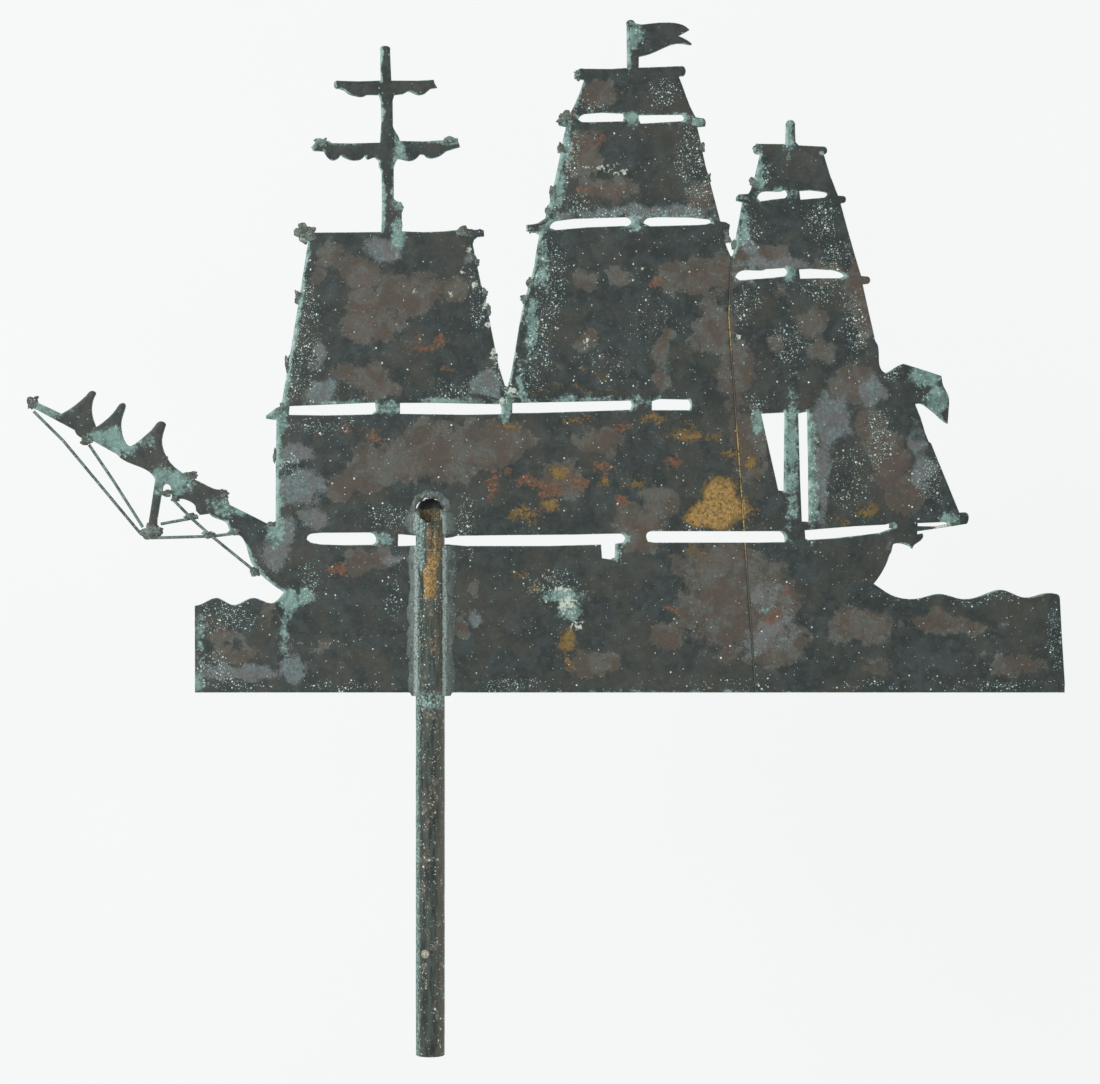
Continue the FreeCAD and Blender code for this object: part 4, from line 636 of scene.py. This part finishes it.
def weathered_sheet():
    """Old outdoor copper: a black skin with brown scale, lobed grey film, verdigris along the edges
    and pale crystals, so that the flat sheet reads as metal that has stood in the weather."""
    g = Graph("weathered_copper_sheet")
    broad = g.noise(30, 4, 0.6, 0.3, 0.11)
    cloud = g.noise(17, 5, 0.62, 0.6, 0.23)
    blot = g.noise(9, 5, 0.62, 0.5, 0.37)
    fine = g.noise(2.4, 5, 0.68, 0.3, 0.53)
    grit = g.noise(0.8, 3, 0.6, 0.0, 0.71)
    lobe = g.add("ShaderNodeTexVoronoi", {
        "Vector": g.add("ShaderNodeVectorMath", {
            0: g.spot, 1: g.add("ShaderNodeTexNoise", {"Vector": g.spot, "Scale": 260}).outputs["Color"],
            2: (0.003, 0.003, 0.003)}, operation="MULTIPLY_ADD").outputs[0],
        "Scale": 1000 / 11}, feature="F1").outputs["Distance"]
    blot_off = g.math("SUBTRACT", blot, 0.5)
    fine_off = g.math("SUBTRACT", fine, 0.5)
    lobe_off = g.math("SUBTRACT", 0.42, lobe)

    def amount(kind, blots, flecks, lobes):
        value = g.field(kind)
        for part, share in ((blot_off, blots), (fine_off, flecks), (lobe_off, lobes)):
            if share:
                value = g.math("ADD", value, g.math("MULTIPLY", part, share))
        return value

    def mask(value, soft=0.05, at=0.5):
        return g.step(value, at - soft, at + soft)

    black = g.mix(g.step(blot, 0.35, 0.72), colour("#222b2a"), colour("#384140"))
    black = g.mix(g.math("MULTIPLY", g.step(broad, 0.4, 0.66), 0.5), black, colour("#4a453b"))
    black = g.mix(g.math("MULTIPLY", g.step(cloud, 0.5, 0.7), 0.45), black, colour("#404c4d"))
    black = g.mix(g.math("MULTIPLY", g.step(fine, 0.5, 0.78), 0.4), black, colour("#56605c"))

    bare = g.math("MULTIPLY", g.field("black"), 0.55)
    scale_value = g.math("SUBTRACT", amount("scale", 1.3, 0.7, 0.3), bare)
    scale_value = g.math("ADD", scale_value, g.math("MULTIPLY", g.math("SUBTRACT", broad, 0.44), 1.2))
    thin_scale = g.step(cloud, 0.42, 0.58)
    crisp = mask(scale_value, 0.05)
    soft = mask(scale_value, 0.3, 0.55)
    scale_mask = g.lerp(g.step(blot, 0.44, 0.56), soft, crisp)
    scale_mask = g.math("MULTIPLY", scale_mask, g.math("ADD", 0.5, g.math("MULTIPLY", fine, 0.75)))
    scale_tone = g.mix(thin_scale, colour("#50483e"), colour("#5f615b"))
    scale_tone = g.mix(g.step(fine, 0.34, 0.68), g.mix(0.35, scale_tone, colour("#2f322d")), scale_tone)
    scale_tone = g.mix(g.math("MULTIPLY", g.step(blot, 0.6, 0.42), 0.45), scale_tone, colour("#5c4a3f"))
    scale_rim = g.math("MULTIPLY", g.step(scale_value, 0.44, 0.5), g.step(scale_value, 0.6, 0.5))
    scale_tone = g.mix(g.math("MULTIPLY", scale_rim, 0.45), scale_tone, colour("#75736c"))

    film_value = amount("film", 1.0, 0.4, 0.7)
    film_mask = g.math("MULTIPLY", mask(film_value, 0.05), g.math("ADD", 0.6, g.math("MULTIPLY", blot, 0.6)))
    film_tone = g.mix(g.step(fine, 0.3, 0.7), colour("#505a5b"), colour("#748282"))
    film_tone = g.mix(g.math("MULTIPLY", g.step(cloud, 0.42, 0.56), 0.6), film_tone, colour("#665f5e"))
    film_rim = g.math("MULTIPLY", g.step(film_value, 0.46, 0.5), g.step(film_value, 0.58, 0.5))
    film_tone = g.mix(g.math("MULTIPLY", film_rim, 0.5), film_tone, colour("#8e9b98"))

    gold_value = g.math("SUBTRACT", amount("gold", 1.0, 1.7, 0.0), g.math("MULTIPLY", g.field("black"), 0.45))
    gold_mask = mask(gold_value, 0.05)
    bright = g.math("MULTIPLY", g.step(g.field("gold"), 0.45, 0.95), g.step(fine, 0.34, 0.62))
    gold_tone = g.mix(bright, colour("#665436"), colour("#ad8b50"))
    rust_mask = mask(amount("rust", 1.3, 1.3, 0.0), 0.12)
    rust_tone = g.mix(g.step(fine, 0.4, 0.66), colour("#4c4036"), colour("#835438"))

    x = g.add("ShaderNodeSeparateXYZ", {0: g.spot}).outputs[0]
    toward_left = g.math("MULTIPLY", g.math("MAXIMUM", g.field("edge_left"), 0.0), g.step(x, -0.176, -0.16))
    band = g.math("MULTIPLY", toward_left, 4.4)
    band = g.math("ADD", g.math("MULTIPLY", band, g.step(broad, 0.36, 0.6)), 0.42)
    near_edge = g.math("SUBTRACT", 1.3, g.math("DIVIDE", g.field("edge"), band))
    crust_value = g.math("MAXIMUM", amount("verdigris", 1.3, 1.1, 0.0),
                         g.math("ADD", near_edge, g.math("MULTIPLY", fine_off, 1.8)))
    crust_mask = g.math("MULTIPLY", mask(crust_value, 0.2), g.step(grit, 0.2, 0.5))
    crust_tone = g.mix(g.step(blot, 0.3, 0.7), colour("#58706b"), colour("#84a39d"))
    pale = g.math("MULTIPLY", g.step(toward_left, 0.3, 0.8), g.step(g.field("edge"), 3.4, 0.6))
    crust_tone = g.mix(g.math("MULTIPLY", pale, g.step(blot, 0.36, 0.6)), crust_tone, colour("#a4c0ba"))
    crust_tone = g.mix(g.step(fine, 0.52, 0.74), crust_tone, colour("#bcd2cc"))

    cream_mask = g.math("MULTIPLY", mask(amount("cream", 1.0, 1.5, 0.0), 0.08), g.step(grit, 0.3, 0.5))
    cream_tone = g.mix(grit, colour("#a9b5a6"), colour("#dfe3d6"))

    thick = g.step(g.math("ADD", g.field("speckle"), g.math("MULTIPLY", blot_off, 0.8)), 0.3, 1.0)
    density = g.math("MULTIPLY_ADD", thick, 0.4)
    density.node.inputs[2].default_value = 0.024
    specks = g.math("MAXIMUM", dots(g, 2.4, 0.3, density), dots(g, 1.1, 0.42, g.math("MULTIPLY", density, 0.8)))
    crumbs = g.math("ADD", g.noise(1.5, 3, 0.6, 0.3, 0.91), g.math("MULTIPLY", thick, 0.085))
    specks = g.math("MAXIMUM", specks, g.math("MULTIPLY", g.step(crumbs, 0.69, 0.74), 0.9))
    speck_tone = g.mix(g.step(blot, 0.4, 0.6), colour("#93b4ad"), colour("#e2efe9"))

    tone = g.mix(scale_mask, black, scale_tone)
    tone = g.mix(film_mask, tone, film_tone)
    tone = g.mix(g.math("MULTIPLY", rust_mask, 0.85), tone, rust_tone)
    tone = g.mix(gold_mask, tone, gold_tone)
    tone = g.mix(g.math("MULTIPLY", crust_mask, 0.9), tone, crust_tone)
    tone = g.mix(cream_mask, tone, cream_tone)
    tone = g.mix(specks, tone, speck_tone)
    tone = g.mix(g.math("MULTIPLY", g.step(grit, 0.62, 0.8), 0.14), tone, colour("#8fa09b"))

    rough_now = g.lerp(scale_mask, g.lerp(fine, 0.42, 0.6), 0.72)
    rough_now = g.lerp(film_mask, rough_now, 0.6)
    rough_now = g.lerp(gold_mask, rough_now, 0.45)
    rough_now = g.lerp(crust_mask, rough_now, 0.92)
    metal = g.lerp(gold_mask, g.lerp(scale_mask, 0.25, 0.05), 0.5)
    metal = g.lerp(crust_mask, metal, 0.0)
    height = g.math("MULTIPLY", fine, 0.35)
    for part, share in ((grit, 0.2), (scale_mask, 0.2), (film_mask, 0.18), (crust_mask, 0.5), (specks, 0.5),
                        (cream_mask, 0.4)):
        height = g.math("ADD", height, g.math("MULTIPLY", part, share))
    return g.finish(tone, rough_now, metal, height, 0.3)


def streaked_tube():
    """Drawn copper tube: tarnish that has run down its length, verdigris to the left, ochre and dark
    brown to the right, warm bare metal inside the mouth, and painted shade at the top of the bore."""
    g = Graph("streaked_copper_tube")
    stretched = g.add("ShaderNodeVectorMath", {0: g.spot, 1: (1.0, 1.0, 0.14)},
                      operation="MULTIPLY").outputs[0]
    runs = g.noise(3.2, 5, 0.65, 0.3, 0.2, stretched)
    blot = g.noise(8, 5, 0.62, 0.5, 0.4)
    fine = g.noise(1.8, 5, 0.68, 0.2, 0.6)
    grit = g.noise(0.7, 3, 0.6, 0.0, 0.8)
    part = g.add("ShaderNodeSeparateXYZ", {0: g.spot})
    x, y, z = (part.outputs[i] for i in range(3))
    wander = g.math("MULTIPLY", g.math("SUBTRACT", runs, 0.5), 0.009)
    across = g.math("ADD", x, wander)
    tone = g.mix(g.step(runs, 0.36, 0.64), colour("#262c29"), colour("#47514b"))
    tone = g.mix(g.math("MULTIPLY", g.step(across, 0.002, 0.009), 0.55), tone, colour("#6a645b"))
    brown = g.math("MULTIPLY", g.step(blot, 0.52, 0.62), 0.65)
    tone = g.mix(brown, tone, colour("#5c4a3c"))
    low_down = g.step(z, 0.34, 0.29)
    swing = g.math("MULTIPLY", g.step(z, 0.368, 0.382), 0.0035)
    shifted = g.math("SUBTRACT", across, swing)
    ochre = g.math("MULTIPLY", g.step(shifted, -0.0062, -0.0036), g.step(shifted, 0.0062, 0.004))
    ochre = g.math("MULTIPLY", ochre, g.step(z, 0.346, 0.356))
    ochre = g.math("MULTIPLY", ochre, g.step(z, 0.408, 0.398))
    solid = g.step(z, 0.388, 0.366)
    ochre = g.math("MULTIPLY", ochre, g.step(g.math("ADD", runs, g.math("MULTIPLY", solid, 0.3)), 0.36, 0.56))
    faint = g.math("MULTIPLY", g.step(across, -0.002, 0.002), g.step(across, 0.008, 0.005))
    faint = g.math("MULTIPLY", faint, g.math("MULTIPLY", g.step(z, 0.278, 0.29), g.step(z, 0.35, 0.34)))
    ochre = g.math("MAXIMUM", g.math("MULTIPLY", ochre, g.step(g.math("ADD", fine, g.math("MULTIPLY", solid, 0.1)), 0.38, 0.52)),
                   g.math("MULTIPLY", g.math("MULTIPLY", faint, 0.55), g.step(blot, 0.52, 0.62)))
    radius = g.math("SQRT", g.math("ADD", g.math("MULTIPLY", x, x), g.math("MULTIPLY", y, y)))
    bore = g.step(radius, 0.0101, 0.0098)
    lit_bore = g.math("MULTIPLY", bore, g.step(z, 0.4205, 0.4165))
    ochre = g.math("MAXIMUM", ochre, g.math("MULTIPLY", lit_bore, g.step(fine, 0.42, 0.6)))
    ochre_tone = g.mix(g.step(g.noise(1.6, 4, 0.66, 0.2, 0.33), 0.38, 0.64), colour("#6e5434"), colour("#b28f55"))
    tone = g.mix(ochre, tone, ochre_tone)
    upper = g.math("MULTIPLY", g.step(z, 0.366, 0.376), 0.003)
    green = g.math("MULTIPLY", g.step(g.math("SUBTRACT", across, upper), -0.0068, -0.0092), g.step(runs, 0.3, 0.48))
    green = g.math("MULTIPLY", green, g.step(fine, 0.3, 0.5))
    patches = g.math("MULTIPLY", g.step(blot, 0.56, 0.66), g.step(fine, 0.42, 0.56))
    rings = g.step(g.math("ABSOLUTE", g.math("SUBTRACT", z, 0.272)), 0.009, 0.002)
    rings = g.math("MULTIPLY", rings, g.step(fine, 0.4, 0.55))
    green = g.math("MAXIMUM", green, g.math("MAXIMUM", g.math("MULTIPLY", patches, 0.5), rings))
    seams = g.step(g.math("ABSOLUTE", x), 0.0092, 0.0104)
    seams = g.math("MULTIPLY", g.math("MULTIPLY", seams, g.step(z, 0.276, 0.28)), g.step(fine, 0.42, 0.56))
    green = g.math("MAXIMUM", green, seams)
    green_tone = g.mix(g.step(fine, 0.4, 0.66), colour("#566d66"), colour("#9db8b2"))
    green = g.math("MULTIPLY", green, g.math("SUBTRACT", 1.0, g.math("MULTIPLY", bore, 0.8)))
    tone = g.mix(green, tone, green_tone)
    density = g.lerp(low_down, 0.2, 0.14)
    specks = g.math("MAXIMUM", dots(g, 2.2, 0.42, density), dots(g, 1.2, 0.5, density))
    crumbs = g.step(g.math("ADD", g.noise(1.7, 4, 0.62, 0.3, 0.19), g.math("MULTIPLY", blot, 0.2)), 0.74, 0.8)
    specks = g.math("MAXIMUM", specks, crumbs)
    tone = g.mix(specks, tone, g.mix(g.step(blot, 0.4, 0.6), colour("#8fb0a6"), colour("#d3e2db")))
    # Painted shade: the bore's inner wall just under the mouth's rim is painted near-black, standing in for the
    # shadow inside the tube.
    tone = g.mix(g.math("MULTIPLY", bore, g.step(z, 0.4165, 0.4205)), tone, colour("#232827"))
    rough_now = g.lerp(green, g.lerp(fine, 0.38, 0.58), 0.86)
    metal = g.lerp(ochre, g.lerp(green, 0.35, 0.0), 0.45)
    height = g.math("ADD", g.math("MULTIPLY", fine, 0.4), g.math("MULTIPLY", green, 0.5))
    height = g.math("ADD", height, g.math("MULTIPLY", specks, 0.4))
    return g.finish(tone, rough_now, metal, height, 0.25)


def soft_solder():
    """Hand-run solder gone dull grey, with whitish bloom on its crests and dark pits."""
    g = Graph("dull_grey_solder")
    stretched = g.add("ShaderNodeVectorMath", {0: g.spot, 1: (1.0, 1.0, 0.3)},
                      operation="MULTIPLY").outputs[0]
    runs = g.noise(4, 5, 0.64, 0.4, 0.15, stretched)
    blot = g.noise(7, 5, 0.62, 0.4, 0.35)
    fine = g.noise(1.6, 5, 0.66, 0.2, 0.45)
    part = g.add("ShaderNodeSeparateXYZ", {0: g.spot})
    x, z = part.outputs[0], part.outputs[2]
    away = g.math("ADD", g.math("ABSOLUTE", x), g.math("MULTIPLY", g.math("SUBTRACT", runs, 0.5), 0.006))
    tone = g.mix(g.step(runs, 0.34, 0.66), colour("#3e4644"), colour("#6f7875"))
    tone = g.mix(g.math("MULTIPLY", g.step(blot, 0.46, 0.62), 0.55), tone, colour("#535f5e"))
    tone = g.mix(g.math("MULTIPLY", g.step(away, 0.0145, 0.0172), 0.6), tone, colour("#3d4542"))
    bloom = g.math("MULTIPLY", g.step(fine, 0.5, 0.64), g.step(blot, 0.44, 0.6))
    seam = g.math("MULTIPLY", g.step(away, 0.0132, 0.0118), g.step(fine, 0.36, 0.52))
    seam = g.math("MULTIPLY", seam, g.step(z, 0.418, 0.412))
    bloom = g.math("MAXIMUM", g.math("MULTIPLY", bloom, 0.7), seam)
    tone = g.mix(g.math("MULTIPLY", bloom, 0.8), tone, colour("#a8b7b2"))
    pits = g.step(g.noise(1.3, 3, 0.6, 0.0, 0.9), 0.4, 0.3)
    tone = g.mix(g.math("MULTIPLY", pits, 0.6), tone, colour("#353d3b"))
    height = g.math("SUBTRACT", g.math("ADD", g.math("MULTIPLY", fine, 0.6), bloom), pits)
    return g.finish(tone, g.lerp(bloom, 0.5, 0.85), g.lerp(bloom, 0.25, 0.0), height, 0.18)


def knob_solder():
    """Drops of solder at the rigging: cream-grey crust over brown, green in the hollows."""
    g = Graph("crusted_solder_drops")
    blot = g.noise(6, 4, 0.6, 0.3, 0.25)
    fine = g.noise(1.3, 5, 0.66, 0.2, 0.55)
    tone = g.mix(g.step(blot, 0.4, 0.6), colour("#4a4a42"), colour("#64746e"))
    tone = g.mix(g.math("MULTIPLY", g.step(fine, 0.5, 0.64), 0.7), tone, colour("#93a199"))
    tone = g.mix(g.step(g.math("ADD", fine, g.math("MULTIPLY", blot, 0.4)), 0.8, 0.95), tone,
                 colour("#c9c9b8"))
    height = g.math("ADD", g.math("MULTIPLY", fine, 0.8), g.math("MULTIPLY", blot, 0.4))
    return g.finish(tone, g.lerp(fine, 0.6, 0.95), 0.1, height, 0.35)


def green_wire():
    """Copper wire gone grey-green, brown where hands and weather have rubbed it."""
    g = Graph("green_copper_wire")
    blot = g.noise(7, 4, 0.6, 0.3, 0.35)
    fine = g.noise(1.1, 5, 0.66, 0.2, 0.65)
    tone = g.mix(g.step(blot, 0.42, 0.6), colour("#444a45"), colour("#62776f"))
    tone = g.mix(g.math("MULTIPLY", g.step(fine, 0.5, 0.66), 0.8), tone, colour("#9fb5ae"))
    return g.finish(tone, g.lerp(fine, 0.5, 0.85), 0.15, fine, 0.2)


def golden_braze():
    """The seam's braze: black like the sheet, with two worn stretches that shine gold."""
    g = Graph("tarnished_golden_braze")
    fine = g.noise(2.2, 5, 0.66, 0.2, 0.7)
    z = g.add("ShaderNodeSeparateXYZ", {0: g.spot}).outputs[2]
    lower = g.math("MULTIPLY", g.step(z, 0.36, 0.41), g.step(z, 0.5, 0.47))
    upper = g.math("MULTIPLY", g.step(z, 0.535, 0.545), g.step(z, 0.58, 0.57))
    shine = g.math("MULTIPLY", g.math("MAXIMUM", lower, upper), g.step(fine, 0.4, 0.55))
    tone = g.mix(shine, g.mix(fine, colour("#3d4441"), colour("#5b5a50")), colour("#b49a5e"))
    return g.finish(tone, g.lerp(shine, 0.6, 0.4), g.lerp(shine, 0.2, 0.6), fine, 0.15)


def turned_steel(name, tint, dark, ridge):
    """Turned metal with fine tool rings and a film of oil and dirt."""
    g = Graph(name)
    rings = g.add("ShaderNodeTexNoise", {
        "Vector": g.add("ShaderNodeVectorMath", {0: g.spot, 1: (0.15, 0.15, 1.0)},
                        operation="MULTIPLY").outputs[0],
        "Scale": 1000 / ridge, "Detail": 3.0}).outputs["Fac"]
    dirt = g.noise(9, 4, 0.6, 0.3, 0.4)
    tone = g.mix(g.step(rings, 0.35, 0.65), colour(dark), colour(tint))
    tone = g.mix(g.math("MULTIPLY", g.step(dirt, 0.55, 0.75), 0.6), tone, colour("#4a4640"))
    return g.finish(tone, g.lerp(dirt, 0.28, 0.55), g.lerp(g.step(dirt, 0.55, 0.75), 0.95, 0.5), rings, 0.04)


def pale_crystal():
    """Grains of pale mint verdigris that stand off the sheet."""
    g = Graph("pale_verdigris_grains")
    tone = g.mix(g.step(g.noise(14, 3, 0.5, 0.0, 0.5), 0.4, 0.6), colour("#8fb1aa"), colour("#d3e4de"))
    fine = g.noise(0.5, 3, 0.6, 0.0, 0.2)
    return g.finish(g.mix(g.math("MULTIPLY", fine, 0.3), tone, colour("#6f8f88")), 0.9, 0.0, fine, 0.1)


def pin_head():
    """The pin's head, under old cream paint worn at the rim."""
    g = Graph("worn_cream_pin_head")
    fine = g.noise(1.2, 4, 0.62, 0.2, 0.3)
    tone = g.mix(g.step(fine, 0.42, 0.6), colour("#77766a"), colour("#b9b5a3"))
    return g.finish(tone, g.lerp(fine, 0.5, 0.8), 0.1, fine, 0.2)


# ------------------------------------------------------------------------------------------------
# The ship's pieces, each in place of its plain solid.

def join(name, things):
    """Several objects made into one."""
    work = bmesh.new()
    for thing in things:
        work.from_mesh(thing.data)
    mesh = bpy.data.meshes.new(name)
    work.to_mesh(mesh)
    work.free()
    mesh.shade_smooth()
    for thing in things:
        bpy.data.objects.remove(thing)
    joined = bpy.data.objects.new(name, mesh)
    bpy.context.scene.collection.objects.link(joined)
    return joined


def fit(thing, material, slot, *nodes):
    """Give a piece its finish and let it stand for its CAD nodes on the turning vane."""
    thing.data.materials.clear()
    thing.data.materials.append(material)
    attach(thing, "vane")
    if nodes:
        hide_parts(*nodes)
    return thing


SHEET = weathered_sheet()
TUBE = streaked_tube()
SOLDER = soft_solder()
KNOBS = knob_solder()
WIRE = green_wire()
BRAZE = golden_braze()
STEEL = turned_steel("oiled_turned_steel", "#8f9296", "#777a7d", 0.9)
BRONZE = turned_steel("turned_bearing_bronze", "#b48a4e", "#94703f", 1.1)
GRAINS = pale_crystal()
PIN = pin_head()

plates = [
    fit(make_plate("fore_sheet", "fore_sheet_weathered", 3), SHEET, "sheet_copper", "fore_sheet"),
    fit(make_plate("after_sheet", "after_sheet_weathered", 8), SHEET, "sheet_copper", "after_sheet"),
]
tube = fit(make_tube(), TUBE, "tube_copper", "spindle_tube")

for side, side_name, toe in ((-1, "left", 6.7), (1, "right", 8.6)):
    for face, face_name in ((-1, "front"), (1, "back")):
        node = f"tube_solder_{face_name}_{side_name}"
        fit(join(node + "_run", make_bead(side, face, toe)), SOLDER, "solder", node)
fit(make_arch_bead(), SOLDER, "solder", "arch_solder")

for index, node in enumerate(sorted(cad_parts)):
    if node.endswith("_solder") and node != "arch_solder":
        fit(make_lumps(node, node + "_drops", 20 + index), KNOBS, "solder", node)

FINISH_OF_NODE = {
    "outer_stay_wire": WIRE, "inner_stay_wire": WIRE, "backrope_wire": WIRE, "cross_stay_wire": WIRE,
    "seam_braze": BRAZE, "spindle_rod": STEEL, "thrust_ball": STEEL, "pivot_plug": STEEL,
    "lower_bush": BRONZE, "bush_pin": PIN,
}
for node, material in FINISH_OF_NODE.items():
    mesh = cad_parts[node].data
    mesh.materials.clear()
    mesh.materials.append(material)


# ------------------------------------------------------------------------------------------------
# Grains of verdigris, scattered where the sheets' own "speckle" field says.

def grain_tree():
    """Scatter flattened grains over a surface, thickest where its speckle field is strong."""
    tree = bpy.data.node_groups.new("verdigris_grains", "GeometryNodeTree")
    face = tree.interface

    def socket(name, kind, value=None, way="INPUT"):
        item = face.new_socket(name, in_out=way, socket_type=kind)
        if value is not None:
            item.default_value = value
        return item

    socket("Surface", "NodeSocketGeometry")
    socket("Grains per Square Metre", "NodeSocketFloat", 100000.0)
    socket("Smallest", "NodeSocketFloat", 0.0002)
    socket("Largest", "NodeSocketFloat", 0.0006)
    socket("Flatness", "NodeSocketFloat", 0.5)
    socket("Seed", "NodeSocketInt", 5)
    socket("Finish", "NodeSocketMaterial")
    socket("Grains", "NodeSocketGeometry", way="OUTPUT")

    def add(kind, inputs=None, **settings):
        node = tree.nodes.new(kind)
        for name, value in settings.items():
            setattr(node, name, value)
        for name, value in (inputs or {}).items():
            if isinstance(value, bpy.types.NodeSocket):
                tree.links.new(value, node.inputs[name])
            else:
                node.inputs[name].default_value = value
        return node

    given = add("NodeGroupInput").outputs
    field = add("GeometryNodeInputNamedAttribute", {"Name": "speckle"}, data_type="FLOAT").outputs[0]
    grown = add("ShaderNodeMapRange", {"Value": field, "From Min": 0.25, "From Max": 1.0},
                interpolation_type="SMOOTHSTEP").outputs["Result"]
    base = add("ShaderNodeMath", {0: grown, 1: 0.05}, operation="ADD").outputs[0]
    density = add("ShaderNodeMath", {0: base, 1: given["Grains per Square Metre"]},
                  operation="MULTIPLY").outputs[0]
    edge = add("GeometryNodeInputNamedAttribute", {"Name": "edge"}, data_type="FLOAT").outputs[0]
    clear = add("ShaderNodeMath", {0: edge, 1: 0.7}, operation="GREATER_THAN").outputs[0]
    scatter = add("GeometryNodeDistributePointsOnFaces", {
        "Mesh": given["Surface"], "Selection": clear, "Density": density, "Seed": given["Seed"]},
        distribute_method="RANDOM")
    pick = add("FunctionNodeRandomValue", {"Seed": given["Seed"]}, data_type="FLOAT")
    tree.links.new(given["Smallest"], pick.inputs[2])
    tree.links.new(given["Largest"], pick.inputs[3])
    size = pick.outputs[1]
    flat = add("ShaderNodeMath", {0: size, 1: given["Flatness"]}, operation="MULTIPLY").outputs[0]
    shape = add("ShaderNodeCombineXYZ", {0: size, 1: size, 2: flat}).outputs[0]
    grain = add("GeometryNodeMeshIcoSphere", {"Radius": 1.0, "Subdivisions": 1}).outputs["Mesh"]
    placed = add("GeometryNodeInstanceOnPoints", {
        "Points": scatter.outputs["Points"], "Instance": grain,
        "Rotation": scatter.outputs["Rotation"], "Scale": shape}).outputs["Instances"]
    real = add("GeometryNodeRealizeInstances", {"Geometry": placed}).outputs[0]
    finished = add("GeometryNodeSetMaterial", {"Geometry": real, "Material": given["Finish"]}).outputs[0]
    add("NodeGroupOutput", {0: finished})
    return tree


def scatter_grains(surfaces):
    work = bmesh.new()
    for thing in surfaces:
        work.from_mesh(thing.data)
    mesh = bpy.data.meshes.new("grain_bed")
    work.to_mesh(mesh)
    work.free()
    bed = bpy.data.objects.new("grain_bed", mesh)
    bpy.context.scene.collection.objects.link(bed)
    modifier = bed.modifiers.new("grains", "NODES")
    modifier.node_group = grain_tree()
    names = {item.name: item.identifier for item in modifier.node_group.interface.items_tree
             if item.in_out == "INPUT"}
    modifier[names["Grains per Square Metre"]] = 62000.0
    modifier[names["Smallest"]] = 0.00016
    modifier[names["Largest"]] = 0.00042
    modifier[names["Flatness"]] = 0.5
    modifier[names["Seed"]] = 11
    modifier[names["Finish"]] = GRAINS
    settled = bed.evaluated_get(bpy.context.evaluated_depsgraph_get())
    grains = bpy.data.objects.new("verdigris_grains", bpy.data.meshes.new_from_object(settled))
    bpy.context.scene.collection.objects.link(grains)
    bpy.data.objects.remove(bed)
    return grains


grains = scatter_grains(plates)
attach(grains, "vane")


# ------------------------------------------------------------------------------------------------
# The stage: a pale wall and floor, a soft sky and one soft lamp from the left.

def make_stage():
    g = Graph("pale_paper_wall")
    cloud = g.noise(400, 3, 0.5, 0.0, 0.2)
    tone = g.mix(cloud, colour("#f6f8f7"), colour("#f9fafa"))
    paper = g.add("ShaderNodeBsdfDiffuse", {"Color": g.mix(0.88, tone, colour("#000000"))})
    glow = g.add("ShaderNodeEmission", {"Color": tone, "Strength": 0.87})
    lit = g.add("ShaderNodeAddShader", {0: paper.outputs[0], 1: glow.outputs[0]})
    clear = g.add("ShaderNodeBsdfTransparent")
    behind = g.add("ShaderNodeNewGeometry").outputs["Backfacing"]
    both = g.add("ShaderNodeMixShader", {0: behind, 1: lit.outputs[0], 2: clear.outputs[0]})
    g.add("ShaderNodeOutputMaterial", {"Surface": both.outputs[0]})
    h = Graph("pale_floor")
    h.finish(mottle(h, 300, "#e6e8e6", "#eceeec", 0.3), 0.8, 0.0, h.noise(40, 3), 0.05)

    wall = make_object("wall", [(-2500, 620, -150), (2500, 620, -150), (2500, 620, 2600), (-2500, 620, 2600)],
                       [(0, 1, 2, 3)], smooth=False)
    floor = make_object("floor", [(-6000, -6000, -150), (6000, -6000, -150), (6000, 6000, -150),
                                  (-6000, 6000, -150)], [(0, 1, 2, 3)], smooth=False)
    wall.data.materials.append(g.material)
    floor.data.materials.append(h.material)
    for ray in ("diffuse", "glossy", "transmission", "shadow"):
        setattr(wall, "visible_" + ray, False)

    world = bpy.data.worlds.new("soft_sky")
    world.use_nodes = True
    world.node_tree.nodes["Background"].inputs[0].default_value = colour("#fbfdfc")
    world.node_tree.nodes["Background"].inputs[1].default_value = 0.8
    bpy.context.scene.world = world

    lamp = bpy.data.lights.new("window_lamp", "AREA")
    lamp.shape = "SQUARE"
    lamp.size = 1.1
    lamp.energy = 42.0
    lamp_object = bpy.data.objects.new("window_lamp", lamp)
    lamp_object.location = (-1.9, -2.3, 1.5)
    aim = Vector((0.09, 0.0, 0.4)) - lamp_object.location
    lamp_object.rotation_euler = aim.to_track_quat("-Z", "Y").to_euler()
    bpy.context.scene.collection.objects.link(lamp_object)


VIEW_WIDTH = 842.6
VIEW_CENTRE = (91.7, 393.0)
LENS = 100.0
SENSOR = 36.0


def make_camera():
    camera = bpy.data.cameras.new("camera")
    camera.lens = LENS
    camera.sensor_width = SENSOR
    camera.clip_end = 30.0
    holder = bpy.data.objects.new("camera", camera)
    away = VIEW_WIDTH * LENS / SENSOR
    holder.location = (VIEW_CENTRE[0] * MM, -away * MM, VIEW_CENTRE[1] * MM)
    holder.rotation_euler = (math.pi / 2, 0.0, 0.0)
    bpy.context.scene.collection.objects.link(holder)
    bpy.context.scene.camera = holder


make_stage()
make_camera()
bpy.context.scene.view_settings.view_transform = "Standard"
